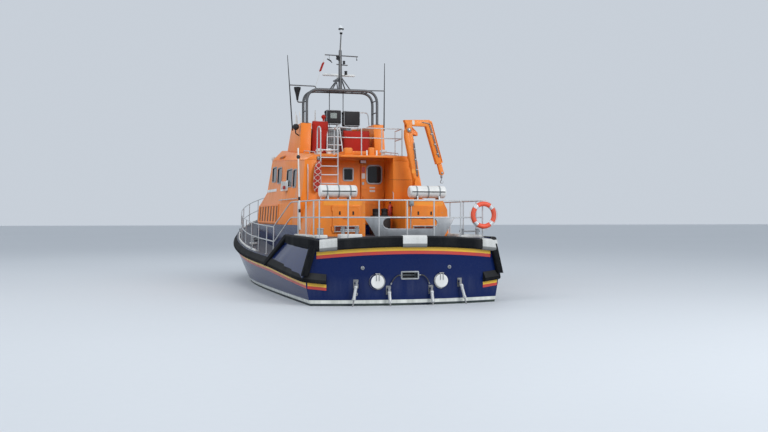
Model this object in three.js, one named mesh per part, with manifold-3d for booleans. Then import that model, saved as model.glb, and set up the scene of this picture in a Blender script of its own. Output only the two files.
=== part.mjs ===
// All-weather lifeboat, 17 m class, afloat. Millimetres, +X to the bow, +Y to port, +Z up.
// The origin is on the centreline at the waterline, near the middle of the length.
import * as THREE from 'three';
import Module from 'manifold-3d';

const wasm = await Module();
wasm.setup();

// Driving dimensions
const GAP = 0.5;
const STERN_X = -8650;
const STERN_BULGE = 430;
const BOW_X = 8080;
const FENDER_T = 120;
const FENDER_H = 250;
const QUARTER_TOP = 1650;
const QUARTER_END_TOP = -5150;
const QUARTER_END_FOOT = -4450;
const QUARTER_HALF = 2290;
const TRUNK_TOP = 1950;
const TRUNK_HALF = 1900;
const HOUSE_AFT = -4450;
const BULKHEAD_X = -3500;
const WALL = 60;
const KNUCKLE_SLOPE = 0.0515;
const CROWN_SLOPE = 0.0857;
const ROOF_THICK = 60;
const LOCKER_AFT = -6000;
const LOCKER_TOP = 2650;
const COAMING_TOP = 5120;
const SLEW = [-5000, -1500];
const BOOM_PIN_Z = 3230;
const KNEE = [-5000, -1230, 4700];
const SCANNER = [-1030, -120];
const BUOY = [-8600, -2140, 2230];
const CRANE_RAM_X = -4810;
const HINGE_OFF = 408;
const DOOR_HINGE = [BULKHEAD_X - 58, -912];
const DOOR_KNUCKLES = [2150, 2850, 3550];
const DOOR_PANE = [-825, -405, 3215, 3715];
const SMALL_PANE = [30, 330, 3280, 3650];
const PANE_CORNER = 70;
const PROP_Y = 1150;
const PROP_X = -7050;
const PROP_Z = -980;
const RUDDER_X = -7780;
const FLAP_X = -9062;
const FLAP_Y = 830;
const EXHAUST_Z = 590;
const EXHAUST_R = 150;
const RECESS = [-9200, -8900, -230, 230, 640, 840];
const PASSAGE = [-5200, BULKHEAD_X - 1, -900, 320, QUARTER_TOP, 2600];
const TUNNEL_R = 560;
const STOCK_R = 50;

// Hull stations: x, half breadth at the fender, fender foot height, chine half breadth, chine
// height, keel height
const STATIONS = [
  [-9300, 2480, 560, 2330, -330, -800],
  [-8650, 2530, 580, 2340, -340, -830],
  [-7000, 2630, 660, 2370, -370, -920],
  [-4650, 2730, 780, 2400, -400, -1030],
  [-2000, 2810, 860, 2400, -400, -1120],
  [0, 2830, 950, 2350, -360, -1170],
  [2000, 2760, 1120, 2200, -250, -1190],
  [3500, 2570, 1290, 1950, -100, -1150],
  [4500, 2340, 1430, 1680, 60, -1060],
  [5500, 1990, 1590, 1320, 280, -880],
  [6400, 1560, 1740, 930, 560, -600],
  [7100, 1120, 1870, 600, 850, -220],
  [7600, 720, 1960, 350, 1120, 250],
  [7900, 420, 2020, 190, 1350, 800],
  [BOW_X, 160, 2060, 80, 1600, 1400],
];

// Geometry helpers
function solidOf(geometry) {
  const g = geometry.clone();
  g.deleteAttribute('normal');
  g.deleteAttribute('uv');
  const at = g.attributes.position;
  const index = g.index ? Array.from(g.index.array) : [...Array(at.count).keys()];
  const seen = new Map();
  const place = [];
  const map = [];
  for (let i = 0; i < at.count; i++) {
    const key = [at.getX(i), at.getY(i), at.getZ(i)].map((v) => Math.round(v * 1000)).join();
    if (!seen.has(key)) {
      seen.set(key, place.length / 3);
      place.push(at.getX(i), at.getY(i), at.getZ(i));
    }
    map.push(seen.get(key));
  }
  const tris = [];
  for (let i = 0; i < index.length; i += 3) {
    const [a, b, c] = [map[index[i]], map[index[i + 1]], map[index[i + 2]]];
    if (a !== b && b !== c && c !== a) tris.push(a, b, c);
  }
  const vertProperties = new Float32Array(place);
  const solid = new wasm.Manifold(
    new wasm.Mesh({ numProp: 3, vertProperties, triVerts: new Uint32Array(tris) }));
  return solid;
}

function geometryOf(solid) {
  const m = solid.getMesh();
  const g = new THREE.BufferGeometry();
  const n = m.vertProperties.length / m.numProp;
  const p = new Float32Array(n * 3);
  for (let i = 0; i < n; i++) {
    for (let k = 0; k < 3; k++) p[3 * i + k] = m.vertProperties[i * m.numProp + k];
  }
  g.setAttribute('position', new THREE.BufferAttribute(p, 3));
  g.setIndex(Array.from(m.triVerts));
  return g;
}

const join = (...list) => list.reduce((a, b) => a.add(b));
const cut = (a, ...list) => list.reduce((s, b) => s.subtract(b), a);

// Closed skin over rings of equal length: neighbours joined, both ends filled
function loft(rings) {
  const n = rings[0].length;
  const p = rings.flat(2);
  const idx = [];
  for (let r = 0; r < rings.length - 1; r++) {
    for (let i = 0; i < n; i++) {
      const j = (i + 1) % n;
      const [a, b, c, d] = [r * n + i, r * n + j, (r + 1) * n + j, (r + 1) * n + i];
      idx.push(a, b, c, a, c, d);
    }
  }
  const last = (rings.length - 1) * n;
  for (const [base, flip] of [[0, true], [last, false]]) {
    for (const t of capOf(rings[base / n])) {
      const [a, b, c] = t.map((v) => v + base);
      if (flip) idx.push(a, c, b); else idx.push(a, b, c);
    }
  }
  const g = new THREE.BufferGeometry();
  g.setAttribute('position', new THREE.Float32BufferAttribute(p, 3));
  g.setIndex(volumeOf(p, idx) < 0 ? idx.reverse() : idx);
  return solidOf(g);
}

// Flat triangulation of a ring in its own plane
function capOf(ring) {
  const normal = new THREE.Vector3();
  ring.forEach((a, i) => {
    const b = ring[(i + 1) % ring.length];
    normal.x += (a[1] - b[1]) * (a[2] + b[2]);
    normal.y += (a[2] - b[2]) * (a[0] + b[0]);
    normal.z += (a[0] - b[0]) * (a[1] + b[1]);
  });
  normal.normalize();
  const u = new THREE.Vector3(Math.abs(normal.x) > 0.8 ? 0 : 1, Math.abs(normal.x) > 0.8 ? 1 : 0, 0);
  u.addScaledVector(normal, -u.dot(normal)).normalize();
  const v = normal.clone().cross(u);
  const flat = ring.map((q) => {
    const w = new THREE.Vector3(...q);
    return new THREE.Vector2(w.dot(u), w.dot(v));
  });
  return THREE.ShapeUtils.triangulateShape(flat, []);
}

function volumeOf(p, idx) {
  let v = 0;
  const at = (i) => new THREE.Vector3(p[3 * i], p[3 * i + 1], p[3 * i + 2]);
  for (let i = 0; i < idx.length; i += 3) v += at(idx[i]).dot(at(idx[i + 1]).cross(at(idx[i + 2])));
  return v;
}

const box = (x0, x1, y0, y1, z0, z1) => solidOf(
  new THREE.BoxGeometry(x1 - x0, y1 - y0, z1 - z0).translate((x0 + x1) / 2, (y0 + y1) / 2, (z0 + z1) / 2));

// Flat outline carried along one axis
const alongX = (poly, x0, x1) => loft([x0, x1].map((x) => poly.map(([y, z]) => [x, y, z])));
const alongY = (poly, y0, y1) => loft([y0, y1].map((y) => poly.map(([x, z]) => [x, y, z])));
const alongZ = (poly, z0, z1) => loft([z0, z1].map((z) => poly.map(([x, y]) => [x, y, z])));

// Round bar through points, mitred at each bend
function bar(points, radius, sides = 6, closed = false) {
  const pts = points.map((q) => new THREE.Vector3(...q));
  const n = pts.length;
  const dir = pts.map((q, i) => {
    const a = closed ? pts[(i + n - 1) % n] : pts[Math.max(i - 1, 0)];
    const b = closed ? pts[(i + 1) % n] : pts[Math.min(i + 1, n - 1)];
    const d1 = q.clone().sub(a).normalize();
    const d2 = b.clone().sub(q).normalize();
    return d1.add(d2).normalize();
  });
  let up = Math.abs(dir[0].z) > 0.9 ? new THREE.Vector3(1, 0, 0) : new THREE.Vector3(0, 0, 1);
  const rings = pts.map((q, i) => {
    const t = dir[i];
    up = up.clone().addScaledVector(t, -up.dot(t)).normalize();
    const side = t.clone().cross(up);
    const seg = i > 0 ? q.clone().sub(pts[i - 1]).normalize() : pts[1].clone().sub(q).normalize();
    const stretch = Math.min(1.6, 1 / Math.max(0.5, seg.dot(t)));
    return Array.from({ length: sides }, (_, k) => {
      const a = (2 * Math.PI * (k + 0.5)) / sides;
      return q.clone().addScaledVector(up, radius * stretch * Math.sin(a))
        .addScaledVector(side, radius * stretch * Math.cos(a)).toArray();
    });
  });
  return loft(rings);
}

// Points of a bend: straight run, arc about a corner, straight run
function rounded(points, radius, steps = 4) {
  const out = [points[0]];
  for (let i = 1; i < points.length - 1; i++) {
    const [a, b, c] = [points[i - 1], points[i], points[i + 1]].map((q) => new THREE.Vector3(...q));
    const r = Math.min(radius, a.distanceTo(b) / 2.2, b.distanceTo(c) / 2.2);
    const p0 = b.clone().add(a.clone().sub(b).setLength(r));
    const p1 = b.clone().add(c.clone().sub(b).setLength(r));
    for (let k = 0; k <= steps; k++) {
      const t = k / steps;
      const q = p0.clone().multiplyScalar((1 - t) ** 2).addScaledVector(b, 2 * t * (1 - t));
      out.push(q.addScaledVector(p1, t * t).toArray());
    }
  }
  out.push(points[points.length - 1]);
  return out;
}

const cylinder = (a, b, radius, sides = 12) => bar([a, b], radius, sides);

// Hole that clears a round pin of this radius by a running fit
function bore(a, b, radius) {
  const sides = 16;
  return bar([a, b], (radius + 0.4) / Math.cos(Math.PI / sides), sides);
}

// Smooth value between the rows of a table, column by column
function tableAt(table, x) {
  let i = 0;
  while (i < table.length - 2 && x > table[i + 1][0]) i++;
  const [p, q] = [table[i], table[i + 1]];
  const t = (x - p[0]) / (q[0] - p[0]);
  const slope = (k, c) => {
    const [a, b] = [table[Math.max(k - 1, 0)], table[Math.min(k + 1, table.length - 1)]];
    return (b[c] - a[c]) / (b[0] - a[0]);
  };
  return p.map((_, c) => {
    const h = q[0] - p[0];
    const [m0, m1] = [slope(i, c) * h, slope(i + 1, c) * h];
    const [t2, t3] = [t * t, t * t * t];
    return (2 * t3 - 3 * t2 + 1) * p[c] + (t3 - 2 * t2 + t) * m0 + (3 * t2 - 2 * t3) * q[c]
      + (t3 - t2) * m1;
  });
}

const HULL_X = [-9300, -8650, -7800, -7000, -6200, -5400, -4650, -3300, -2000, -1000, 0, 1000, 2000,
  2750, 3500, 4000, 4500, 5000, 5500, 5950, 6400, 6750, 7100, 7350, 7600, 7750, 7900, BOW_X];
const stationAt = (x) => tableAt(STATIONS, x);
const skinY = (x) => stationAt(x)[1];
const footZ = (x) => stationAt(x)[2];
const deckZ = (x) => footZ(x) + FENDER_H + 20;
const HATCH_Z = deckZ(5000) + 90;

// Stern arc in plan, grown outward by g
function sternX(y, g = 0) {
  return STERN_X - g - STERN_BULGE * (1 - (y / 2450) ** 2);
}

// Hull
function hullSection(x, g) {
  const [, b, zf, yc, zc, zk] = stationAt(x);
  const flat = Math.min(140, yc * 0.12);
  const half = [
    [0, zk - g], [yc * 0.5, (zk * 0.42 + zc * 0.58) - g], [yc - flat, zc - g], [yc + g, zc + 25 - g],
    [(yc + b) / 2 + 15 + g, (zc + zf) / 2], [b + g, zf - 60], [b + g, deckZ(x) + g],
    [b * 0.5, deckZ(x) + 30 + g], [0, deckZ(x) + 45 + g]];
  const other = half.slice(1, -1).reverse().map(([y, z]) => [-y, z]);
  return [...half, ...other].map(([y, z]) => [x, y, z]);
}

function sternTrim(g) {
  const ys = Array.from({ length: 17 }, (_, i) => -3200 + 400 * i);
  const arc = ys.map((y) => [sternX(y, g), y]);
  return alongZ([...arc, [9000, 3200], [9000, -3200]], -2600, 2600);
}

// Raised quarterdeck block: its sides flare down over the low fender, its front is slanted
function quarterBlock(g) {
  const aft = STERN_X - 650;
  const mix = THREE.MathUtils.lerp;
  const ring = (at, front) => {
    const side = [0, 0.2, 0.4, 0.6, 0.8, 1].map((t) => {
      const x = mix(aft, front + g, t);
      const [half, z] = at(x, t);
      return [x, half + g, z];
    });
    return [...side.map(([x, y, z]) => [x, -y, z]), ...side.slice().reverse()];
  };
  const skirt = FENDER_T * 0.7;
  return loft([
    ring((x, t) => [mix(2400, 2560, t), mix(600, 780, t)], QUARTER_END_FOOT + 60),
    ring((x) => [skinY(x) + skirt, footZ(x) + 100], QUARTER_END_FOOT),
    ring(() => [QUARTER_HALF, QUARTER_TOP + g], QUARTER_END_TOP)]);
}

// Step under the lockers and the passage between them
const stepBlock = (g) => box(-5500, HOUSE_AFT + 10, -2125 - g, TRUNK_HALF + g, 700, QUARTER_TOP + g);

function trunkBlock(g) {
  const ring = (z, half, front, c) => [
    [-4450 - g, -half, z], [front - c, -half, z], [front, -half + c, z], [front, half - c, z],
    [front - c, half, z], [-4450 - g, half, z]];
  const half = TRUNK_HALF + g;
  return loft([ring(700, half, 3560 + g, 420), ring(TRUNK_TOP + g, half, 3500 + g, 420)]);
}

function hullForm(g) {
  const skin = loft(HULL_X.map((x) => hullSection(x, g)));
  return join(skin.add(quarterBlock(g)).intersect(sternTrim(g)), trunkBlock(g), stepBlock(g));
}

function bilgeKeel(side) {
  const y = side * PROP_Y;
  return alongY([[-6300, -350], [-6450, -1500], [-5700, -1740], [-2600, -1760], [-600, -1420],
    [500, -1000], [500, -500], [-3000, -350]], y - 55, y + 55);
}

function shaftBracket(side) {
  const y = side * PROP_Y;
  return join(cylinder([-6900, y, PROP_Z], [-6350, y, PROP_Z + 20], 95, 10),
    box(-6850, -6650, y - 25, y + 25, PROP_Z, -250));
}

function makeHull() {
  const tunnels = [-1, 1].map((s) => bar(
    [[-9600, s * PROP_Y, -1010], [-7000, s * PROP_Y, -960], [-5600, s * PROP_Y, -1350]], TUNNEL_R, 16));
  const shell = cut(hullForm(0), ...tunnels, box(...PASSAGE));
  const parts = [-1, 1].flatMap((s) => [bilgeKeel(s), shaftBracket(s)]);
  const outlet = (from, to, r, n) => [-1, 1].map((s) => cylinder([from, s * FLAP_Y, EXHAUST_Z],
    [to, s * FLAP_Y, EXHAUST_Z], r, n));
  const rings = outlet(FLAP_X + 8, -8900, EXHAUST_R + 45, 20);
  const pipes = outlet(-9300, -8850, EXHAUST_R, 16);
  const shaftBores = [-1, 1].map((s) => bore(
    [-7000, s * PROP_Y, PROP_Z], [-6500, s * PROP_Y, PROP_Z], STOCK_R));
  const stockBores = [-1, 1].map((s) => bore(
    [RUDDER_X, s * PROP_Y, -900], [RUDDER_X, s * PROP_Y, -240], STOCK_R));
  const gear = [-1, 1].flatMap((s) => [...ramBrackets(s), ...tabEnds(s), ...flapEars(s)]);
  const hatchEars = [-1, 1].map((s) => {
    const [a, b] = [s * 385.5, s * 412].sort((p, q) => p - q);
    return box(4190, 4222, a, b, HATCH_Z - 20, HATCH_Z + 38);
  });
  const coaming = box(4190, 5000, -415, 415, 1400, HATCH_Z);
  const hatchWell = box(4240, 4960, -360, 360, deckZ(4600) - 60, 2600);
  const whole = join(shell, ...parts, ...rings, coaming, ...gear, ...hatchEars);
  return cut(whole, box(...RECESS), ...pipes, ...shaftBores, ...stockBores, hatchWell);
}

// Propellers: five blades on a tapered boss with a stub of shaft
function makePropeller(side) {
  const y = side * PROP_Y;
  const boss = loft([[-250, 35], [-180, 70], [80, 85], [130, 50]].map(([dx, r]) =>
    Array.from({ length: 12 }, (_, k) => {
      const a = (k * Math.PI) / 6;
      return [PROP_X + dx, y + r * Math.cos(a), PROP_Z + r * Math.sin(a)];
    })));
  const shaft = cylinder([PROP_X + 100, y, PROP_Z], [-6540, y, PROP_Z], STOCK_R, 12);
  const blade = (k) => {
    const turn = new THREE.Matrix4().makeRotationX((k * 2 * Math.PI) / 5);
    // radius, half chord, pitch angle
    const rows = [[60, 70, 62], [150, 120, 50], [260, 150, 38], [360, 130, 30], [430, 50, 27]];
    const rings = rows.map(([r, c, deg]) => {
      const a = (deg * Math.PI) / 180 * side;
      return [[-c, 0], [0, 16], [c, 0], [0, -16]].map(([s, t]) => {
        const q = new THREE.Vector3(s * Math.sin(a) + t * Math.cos(a), s * Math.cos(a) - t * Math.sin(a), r);
        return q.applyMatrix4(turn).add(new THREE.Vector3(PROP_X - 50, y, PROP_Z)).toArray();
      });
    });
    return loft(rings);
  };
  return join(boss, shaft, ...[0, 1, 2, 3, 4].map(blade));
}

function makeRudder(side) {
  const y = side * PROP_Y;
  const ring = (z, front, back, t) => [[front, y - t, z], [front + 60, y, z], [front, y + t, z],
    [back, y + 8, z], [back, y - 8, z]];
  const blade = loft([ring(-1560, RUDDER_X + 130, RUDDER_X - 290, 26),
    ring(-620, RUDDER_X + 180, RUDDER_X - 400, 40)]);
  return join(blade, cylinder([RUDDER_X, y, -900], [RUDDER_X, y, -260], STOCK_R, 12));
}

// Fender along the sides, round the bow, and a short way in on the stern
function makeGunwaleFender() {
  const side = HULL_X.filter((x) => x > STERN_X + 10).map((x) => [x, skinY(x), footZ(x)]);
  const corner = [[sternX(2050), 2050, 530], [sternX(2300), 2300, 545], [STERN_X + 20, 2532, 580]];
  const port = [...corner, ...side, [BOW_X + 20, 60, footZ(BOW_X)]];
  const path = [...port, ...port.slice().reverse().map(([x, y, z]) => [x, -y, z])];
  const n = path.length;
  const unit = (a, b) => {
    const d = [b[0] - a[0], b[1] - a[1]];
    const l = Math.hypot(...d);
    return [d[1] / -l, d[0] / l];
  };
  const rings = path.map((q, i) => {
    const n1 = unit(path[Math.max(i - 1, 0)], path[Math.max(i, 1)]);
    const n2 = unit(path[Math.min(i, n - 2)], path[Math.min(i + 1, n - 1)]);
    const sum = [n1[0] + n2[0], n1[1] + n2[1]];
    const l = Math.hypot(...sum);
    const m = [sum[0] / l, sum[1] / l];
    const k = 1 / Math.max(0.7, m[0] * n1[0] + m[1] * n1[1]);
    const out = [[-8, 0], [FENDER_T - 15, 8], [FENDER_T, 40], [FENDER_T - 10, 90], [12, FENDER_H - 4],
      [-8, FENDER_H]];
    return out.map(([d, z]) => [q[0] + m[0] * k * d, q[1] + m[1] * k * d, q[2] + z]);
  });
  return cut(loft(rings), hullForm(GAP));
}

// Fender across the stern, down each corner, forward along the quarter and down the slant
const crownZ = (y) => 1444 - 120 * (y / 2330) ** 2;
const bumper = (high) => [[-60, 0], [95, 5], [125, 50], [125, high - 50], [95, high - 5], [-60, high]];

function makeUpperFender() {
  const ys = [-2330, -1900, -1450, -1000, -500, 0, 500, 1000, 1450, 1900, 2330];
  const section = (q, n, high) => bumper(high).map(([d, z]) => [q[0] + n[0] * d, q[1] + n[1] * d, q[2] + z]);
  const stern = loft(ys.map((y) => section([sternX(y), y, crownZ(y)], [-1, 0.25 * y / 2330], 275)));
  // pads of paler rubber stand proud: from y, to y
  const pads = [[2285, 1855], [275, -365], [-1950, -2400]].map(([from, to]) => {
    const rows = [0, 0.33, 0.67, 1].map((t) => from + t * (to - from));
    return loft(rows.map((y) => section([sternX(y) - 14, y, crownZ(y) - 12], [-1, 0], 299)));
  });
  const arms = [-1, 1].map((s) => {
    const top = loft([[-8720, 2330], [-7600, 2310], [-6900, 2300], [QUARTER_END_TOP - 60, 2295]].map(
      ([x, y]) => section([x, s * y, QUARTER_TOP - 245], [0, s], 290)));
    const slant = loft([[QUARTER_END_TOP + 40, 2300, 1695], [QUARTER_END_FOOT + 70, 2795, 890]].map(
      ([x, y, z]) => bumper(250).map(([d, t]) => [x - t * 0.95, s * (y + d), z - t * 0.35])));
    const corner = loft([[720, 2540], [1440, 2345]].map(([z, y]) => {
      const x = sternX(y);
      return [[-60, -60], [-60, 190], [40, 190], [110, 100], [110, 0], [40, -60]].map(([d, t]) => [
        x - 70 + t, s * (y + d), z]);
    }));
    return join(top, slant, corner);
  });
  const low = makeGunwaleFender();
  const round = [-0.5, 0, 0.5].map((dy) => low.translate([0, dy, dy === 0 ? 0 : 1]));
  const bodies = cut(join(stern, ...pads, ...arms), hullForm(1), ...round).decompose();
  // the long body is the fender; what else the cuts leave is thinner than its skin
  return bodies.sort((a, b) => b.volume() - a.volume())[0];
}

// Stern gear: exhaust flaps, trim tabs and their rams
function makeFlap(side) {
  const y = side * FLAP_Y;
  const x = FLAP_X;
  return join(cylinder([x - 14, y, 590], [x, y, 590], 190, 20), box(x - 22, x, y - 60, y + 60, 760, 786),
    cylinder([x - 16, y - 60, 786], [x - 16, y + 60, 786], 12, 10));
}

function flapEars(side) {
  return [-1, 1].map((s) => {
    const [a, b] = [side * FLAP_Y + s * 60.5, side * FLAP_Y + s * 74].sort((p, q) => p - q);
    return box(FLAP_X - 25, FLAP_X + 60, a, b, 776, 800);
  });
}

// Rams on each side: foot of the bracket y, head z, foot y, foot z
const RAMS = [
  { name: 'outer', y0: 1350, z0: 560, y1: 1530 },
  { name: 'inner', y0: 550, z0: 400, y1: 550 },
];
const TAB_Z = -330;
const ramEnds = (side, ram) => {
  const x0 = sternX(ram.y0) - 70;
  return [[x0, side * ram.y0, ram.z0], [sternX(ram.y1) - 250, side * ram.y1, TAB_Z + 60]];
};

const between = (a, b, t) => a.map((v, i) => v + (b[i] - v) * t);

function makeRamCylinder(side, ram) {
  const [head, foot] = ramEnds(side, ram);
  const lug = box(head[0] - 18, head[0] + 18, head[1] - 30, head[1] + 30, head[2] - 90, head[2] + 50);
  const tube = cylinder(between(head, foot, 0.09), between(head, foot, 0.5), 38, 12);
  return cut(join(lug, tube), bore(between(head, foot, 0.2), between(head, foot, 0.52), 18));
}

function makeRamRod(side, ram) {
  const [head, foot] = ramEnds(side, ram);
  return join(cylinder(between(head, foot, 0.3), foot, 18, 10),
    cylinder([foot[0], foot[1] - 28, foot[2]], [foot[0], foot[1] + 28, foot[2]], 34, 12));
}

function ramBrackets(side) {
  return RAMS.flatMap((ram) => {
    const [head] = ramEnds(side, ram);
    return [-1, 1].map((s) => {
      const [a, b] = [head[1] + s * 30.5, head[1] + s * 44].sort((p, q) => p - q);
      return box(head[0] - 30, head[0] + 160, a, b, head[2] - 22, head[2] + 22);
    });
  });
}

function tabEnds(side) {
  return [[270, 299.4], [1900.6, 1930]].map(([near, far]) => {
    const [a, b] = [side * near, side * far].sort((p, q) => p - q);
    const x = sternX(near);
    return box(x - 50, x + 200, a, b, TAB_Z - 8, TAB_Z + 12);
  });
}

function makeTrimTab(side) {
  const ys = [300, 700, 1100, 1500, 1900].map((y) => side * y);
  const plate = loft(ys.map((y) => {
    const x = sternX(y) - 12;
    return [[x, y, TAB_Z], [x, y, TAB_Z - 24], [x - 420, y, TAB_Z - 24], [x - 420, y, TAB_Z]];
  }));
  const lugs = RAMS.map((ram) => {
    const [, foot] = ramEnds(side, ram);
    return [-1, 1].map((s) => box(foot[0] - 35, foot[0] + 35, foot[1] + s * 43 - 10, foot[1] + s * 43 + 10,
      TAB_Z - 10, foot[2] + 40));
  });
  return join(plate, ...lugs.flat());
}

function makeHose(side) {
  const run = [[sternX(230) - 8, side * 238, 730], [sternX(300) - 40, side * 290, 740],
    [sternX(420) - 40, side * 420, 640], [sternX(500) - 45, side * 500, 520]];
  return bar(rounded(run, 90, 3), 14, 6);
}

// Deckhouse
// height, half width, front x, slope
const HOUSE_ROWS = [
  [TRUNK_TOP + GAP, 1880, 3450, 0], [2600, 1830, 3350, 0], [3020, 1760, 2150, 0],
  [3820, 1700, 1420, KNUCKLE_SLOPE], [3980, 1420, 1150, CROWN_SLOPE]];

function houseForm(inset, aft, bottom) {
  const drops = [0, 0, 0, inset * 0.5, inset];
  const rings = HOUSE_ROWS.map(([z0, w0, front, slope], i) => {
    const z = i === 0 ? bottom : z0 - drops[i];
    const w = w0 - inset - drops[i] * 0.3;
    const xf = front - inset * 1.15;
    const c = 380;
    const lift = (x) => slope * (x - HOUSE_AFT);
    return [[aft, -w], [xf - c, -w], [xf, -w + c * 0.8], [xf, w - c * 0.8], [xf - c, w], [aft, w]].map(
      ([x, y]) => [x, y, z + lift(x)]);
  });
  return loft(rings);
}

const roofPlane = (x) => 3835 + KNUCKLE_SLOPE * (x - HOUSE_AFT);
const crownLine = (x) => 3980 + CROWN_SLOPE * (x - HOUSE_AFT);

function aboveRoofLine(g) {
  return alongY([[-6000, roofPlane(-6000) + g], [4000, roofPlane(4000) + g], [4000, 7000], [-6000, 7000]],
    -3000, 3000);
}

// Shell of walls and roof with the cabin and the aft shelter hollowed out
function houseShell() {
  const outer = houseForm(0, HOUSE_AFT, TRUNK_TOP + GAP);
  const cabin = houseForm(WALL, BULKHEAD_X + WALL, 1800);
  const under = [LOCKER_AFT, BULKHEAD_X].map((x) => [x, crownLine(x) - ROOF_THICK]);
  const shelter = alongY([[LOCKER_AFT, 1500], [BULKHEAD_X, 1500], under[1], under[0]], -950, 1350);
  return cut(outer, cabin, shelter);
}

const frontRegion = (g) => alongY([[3450 - 520 + g, 1500], [3350 - 520 + g, 2600], [2150 - 520 + g, 3020],
  [1420 - 520 + g, 3870], [1100 - 520 + g, 4400], [6000, 4400], [6000, 1500]], -3000, 3000);

// Side windows: x from, x to, z from, z to
const SIDE_WINDOWS = [[60, 820, 3360, 3840], [-900, -180, 3290, 3780], [-2700, -1830, 3120, 3650],
  [-3390, -2870, 3080, 3610]];
const VENT_SLOTS = [2620, 2240, 1860, 1480, 1100];

function makeSide(side) {
  const lower = cut(houseShell(), aboveRoofLine(-GAP), frontRegion(-1), box(-6000, BULKHEAD_X + WALL + 1,
    -3000, 3000, 0, 9000));
  const half = side > 0 ? box(-6000, 6000, 200, 3000, 0, 9000) : box(-6000, 6000, -3000, -200, 0, 9000);
  const y0 = side > 0 ? 1400 : -2200;
  const holes = SIDE_WINDOWS.map(([a, b, c, d]) => box(a, b, y0, y0 + 800, c, d));
  const [v0, v1] = side > 0 ? [1790, 1900] : [-1900, -1790];
  const slots = VENT_SLOTS.map((x) => box(x - 75, x + 75, v0, v1, 2050, 2520));
  return cut(lower.intersect(half), ...holes, ...slots);
}

// Pane on the slanted corner between the side and the raked front: height, front x, half width
function cornerPane(side) {
  return loft([[3330, 1884, 1738], [3830, 1454, 1703]].map(([z, front, half]) => {
    const at = (share, out) => [front - 380 + 380 * share + 0.62 * out,
      side * (half - 304 * share + 0.78 * out), z];
    return [at(0.14, 200), at(0.86, 200), at(0.86, -200), at(0.14, -200)];
  }));
}

function makeFront() {
  const body = cut(houseShell(), aboveRoofLine(-GAP)).intersect(frontRegion(1));
  const panes = [-1, 0, 1].map((k) => box(1000, 2400, k * 780 - 330, k * 780 + 330, 3260, 3840));
  return cut(body, ...panes, cornerPane(1), cornerPane(-1));
}

function makeAft() {
  const body = cut(houseShell(), aboveRoofLine(-GAP)).intersect(box(-6000, BULKHEAD_X + WALL,
    -3000, 3000, 0, 9000));
  const doorway = box(BULKHEAD_X - 10, BULKHEAD_X + 80, -880, -220, 1990, 3740);
  const window = box(BULKHEAD_X - 10, BULKHEAD_X + 80, ...SMALL_PANE);
  const [hx, hy] = DOOR_HINGE;
  const spans = DOOR_KNUCKLES.flatMap((z) => [[z - 110, z - 60.5], [z + 60.5, z + 110]]);
  const hinges = spans.map(([a, b]) => join(cylinder([hx, hy, a], [hx, hy, b], 16, 8),
    box(hx, BULKHEAD_X + 2, hy - 14, hy, a, b)));
  return join(cut(body, doorway, window), ...hinges);
}

function makeRoof() {
  const roof = houseShell().intersect(aboveRoofLine(0));
  const notch = box(-6000, -4150, 700, 1280, 3000, 5000);
  return cut(roof, notch);
}

function makeDoor() {
  const leaf = box(BULKHEAD_X - 48, BULKHEAD_X - 6, -895, -205, 1965, 3765);
  const [y0, y1, z0, z1] = DOOR_PANE;
  const c = PANE_CORNER;
  const pane = alongX([[y0, z0 + c], [y0 + c, z0], [y1 - c, z0], [y1, z0 + c], [y1, z1 - c], [y1 - c, z1],
    [y0 + c, z1], [y0, z1 - c]], BULKHEAD_X - 100, BULKHEAD_X + 100);
  const [hx, hy] = DOOR_HINGE;
  const knuckles = DOOR_KNUCKLES.map((z) => join(cylinder([hx, hy, z - 60], [hx, hy, z + 60], 16, 8),
    box(hx, hx + 16, hy, -880, z - 60, z + 60)));
  const handle = bar([[BULKHEAD_X - 48, -270, 2620], [BULKHEAD_X - 74, -270, 2640],
    [BULKHEAD_X - 74, -270, 2800], [BULKHEAD_X - 48, -270, 2820]], 10, 6);
  return join(cut(leaf, pane), ...knuckles, handle);
}

// Lockers either side of the passage, each a hollow box with one door aft
function makeLocker(side) {
  const [inner, outer, foot] = side > 0 ? [320, 1740, 1900] : [840, 2080, 2125];
  const s = side;
  const poly = (g) => [[s * (inner + g), QUARTER_TOP + GAP + g], [s * (foot - g), QUARTER_TOP + GAP + g],
    [s * (outer - g), LOCKER_TOP - 260], [s * (outer - 130 - g), LOCKER_TOP - g],
    [s * (inner + g), LOCKER_TOP - g]];
  const body = alongX(poly(0), LOCKER_AFT, HOUSE_AFT - GAP);
  const hollow = alongX(poly(50), LOCKER_AFT + 50, HOUSE_AFT - 60);
  const mid = side > 0 ? 860 : -1400;
  const hole = box(LOCKER_AFT - 20, LOCKER_AFT + 100, mid - 370, mid + 370, 1760, 2480);
  const edge = mid + side * HINGE_OFF;
  const [near, far] = [edge + side * 2, edge + side * 12].sort((p, q) => p - q);
  const hinges = [1850, 2390].map((z) => join(
    cylinder([LOCKER_AFT - 26, edge, z + 45.5], [LOCKER_AFT - 26, edge, z + 90], 12, 8),
    box(LOCKER_AFT - 26, LOCKER_AFT + 10, near, far, z + 45.5, z + 90)));
  const seat = [houseForm(-GAP, HOUSE_AFT - GAP, TRUNK_TOP), trunkBlock(GAP)];
  return join(cut(body, hollow, hole, ...seat), ...hinges);
}

function makeLockerDoor(side) {
  const mid = side > 0 ? 860 : -1400;
  const x = LOCKER_AFT - 2;
  const leaf = box(x - 22, x, mid - 395, mid + 395, 1735, 2505);
  const handle = bar([[x - 22, mid - 20, 2150], [x - 55, mid - 20, 2150], [x - 55, mid + 90, 2150],
    [x - 22, mid + 90, 2150]], 9, 6);
  const edge = mid + side * HINGE_OFF;
  const [a, b] = [mid + side * 380, edge].sort((p, q) => p - q);
  const hinge = [1850, 2390].map((z) => join(cylinder([x - 24, edge, z - 45], [x - 24, edge, z + 45], 12, 8),
    box(x - 30, x - 18, a, b, z - 45, z + 45)));
  return join(leaf, handle, ...hinge);
}

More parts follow.
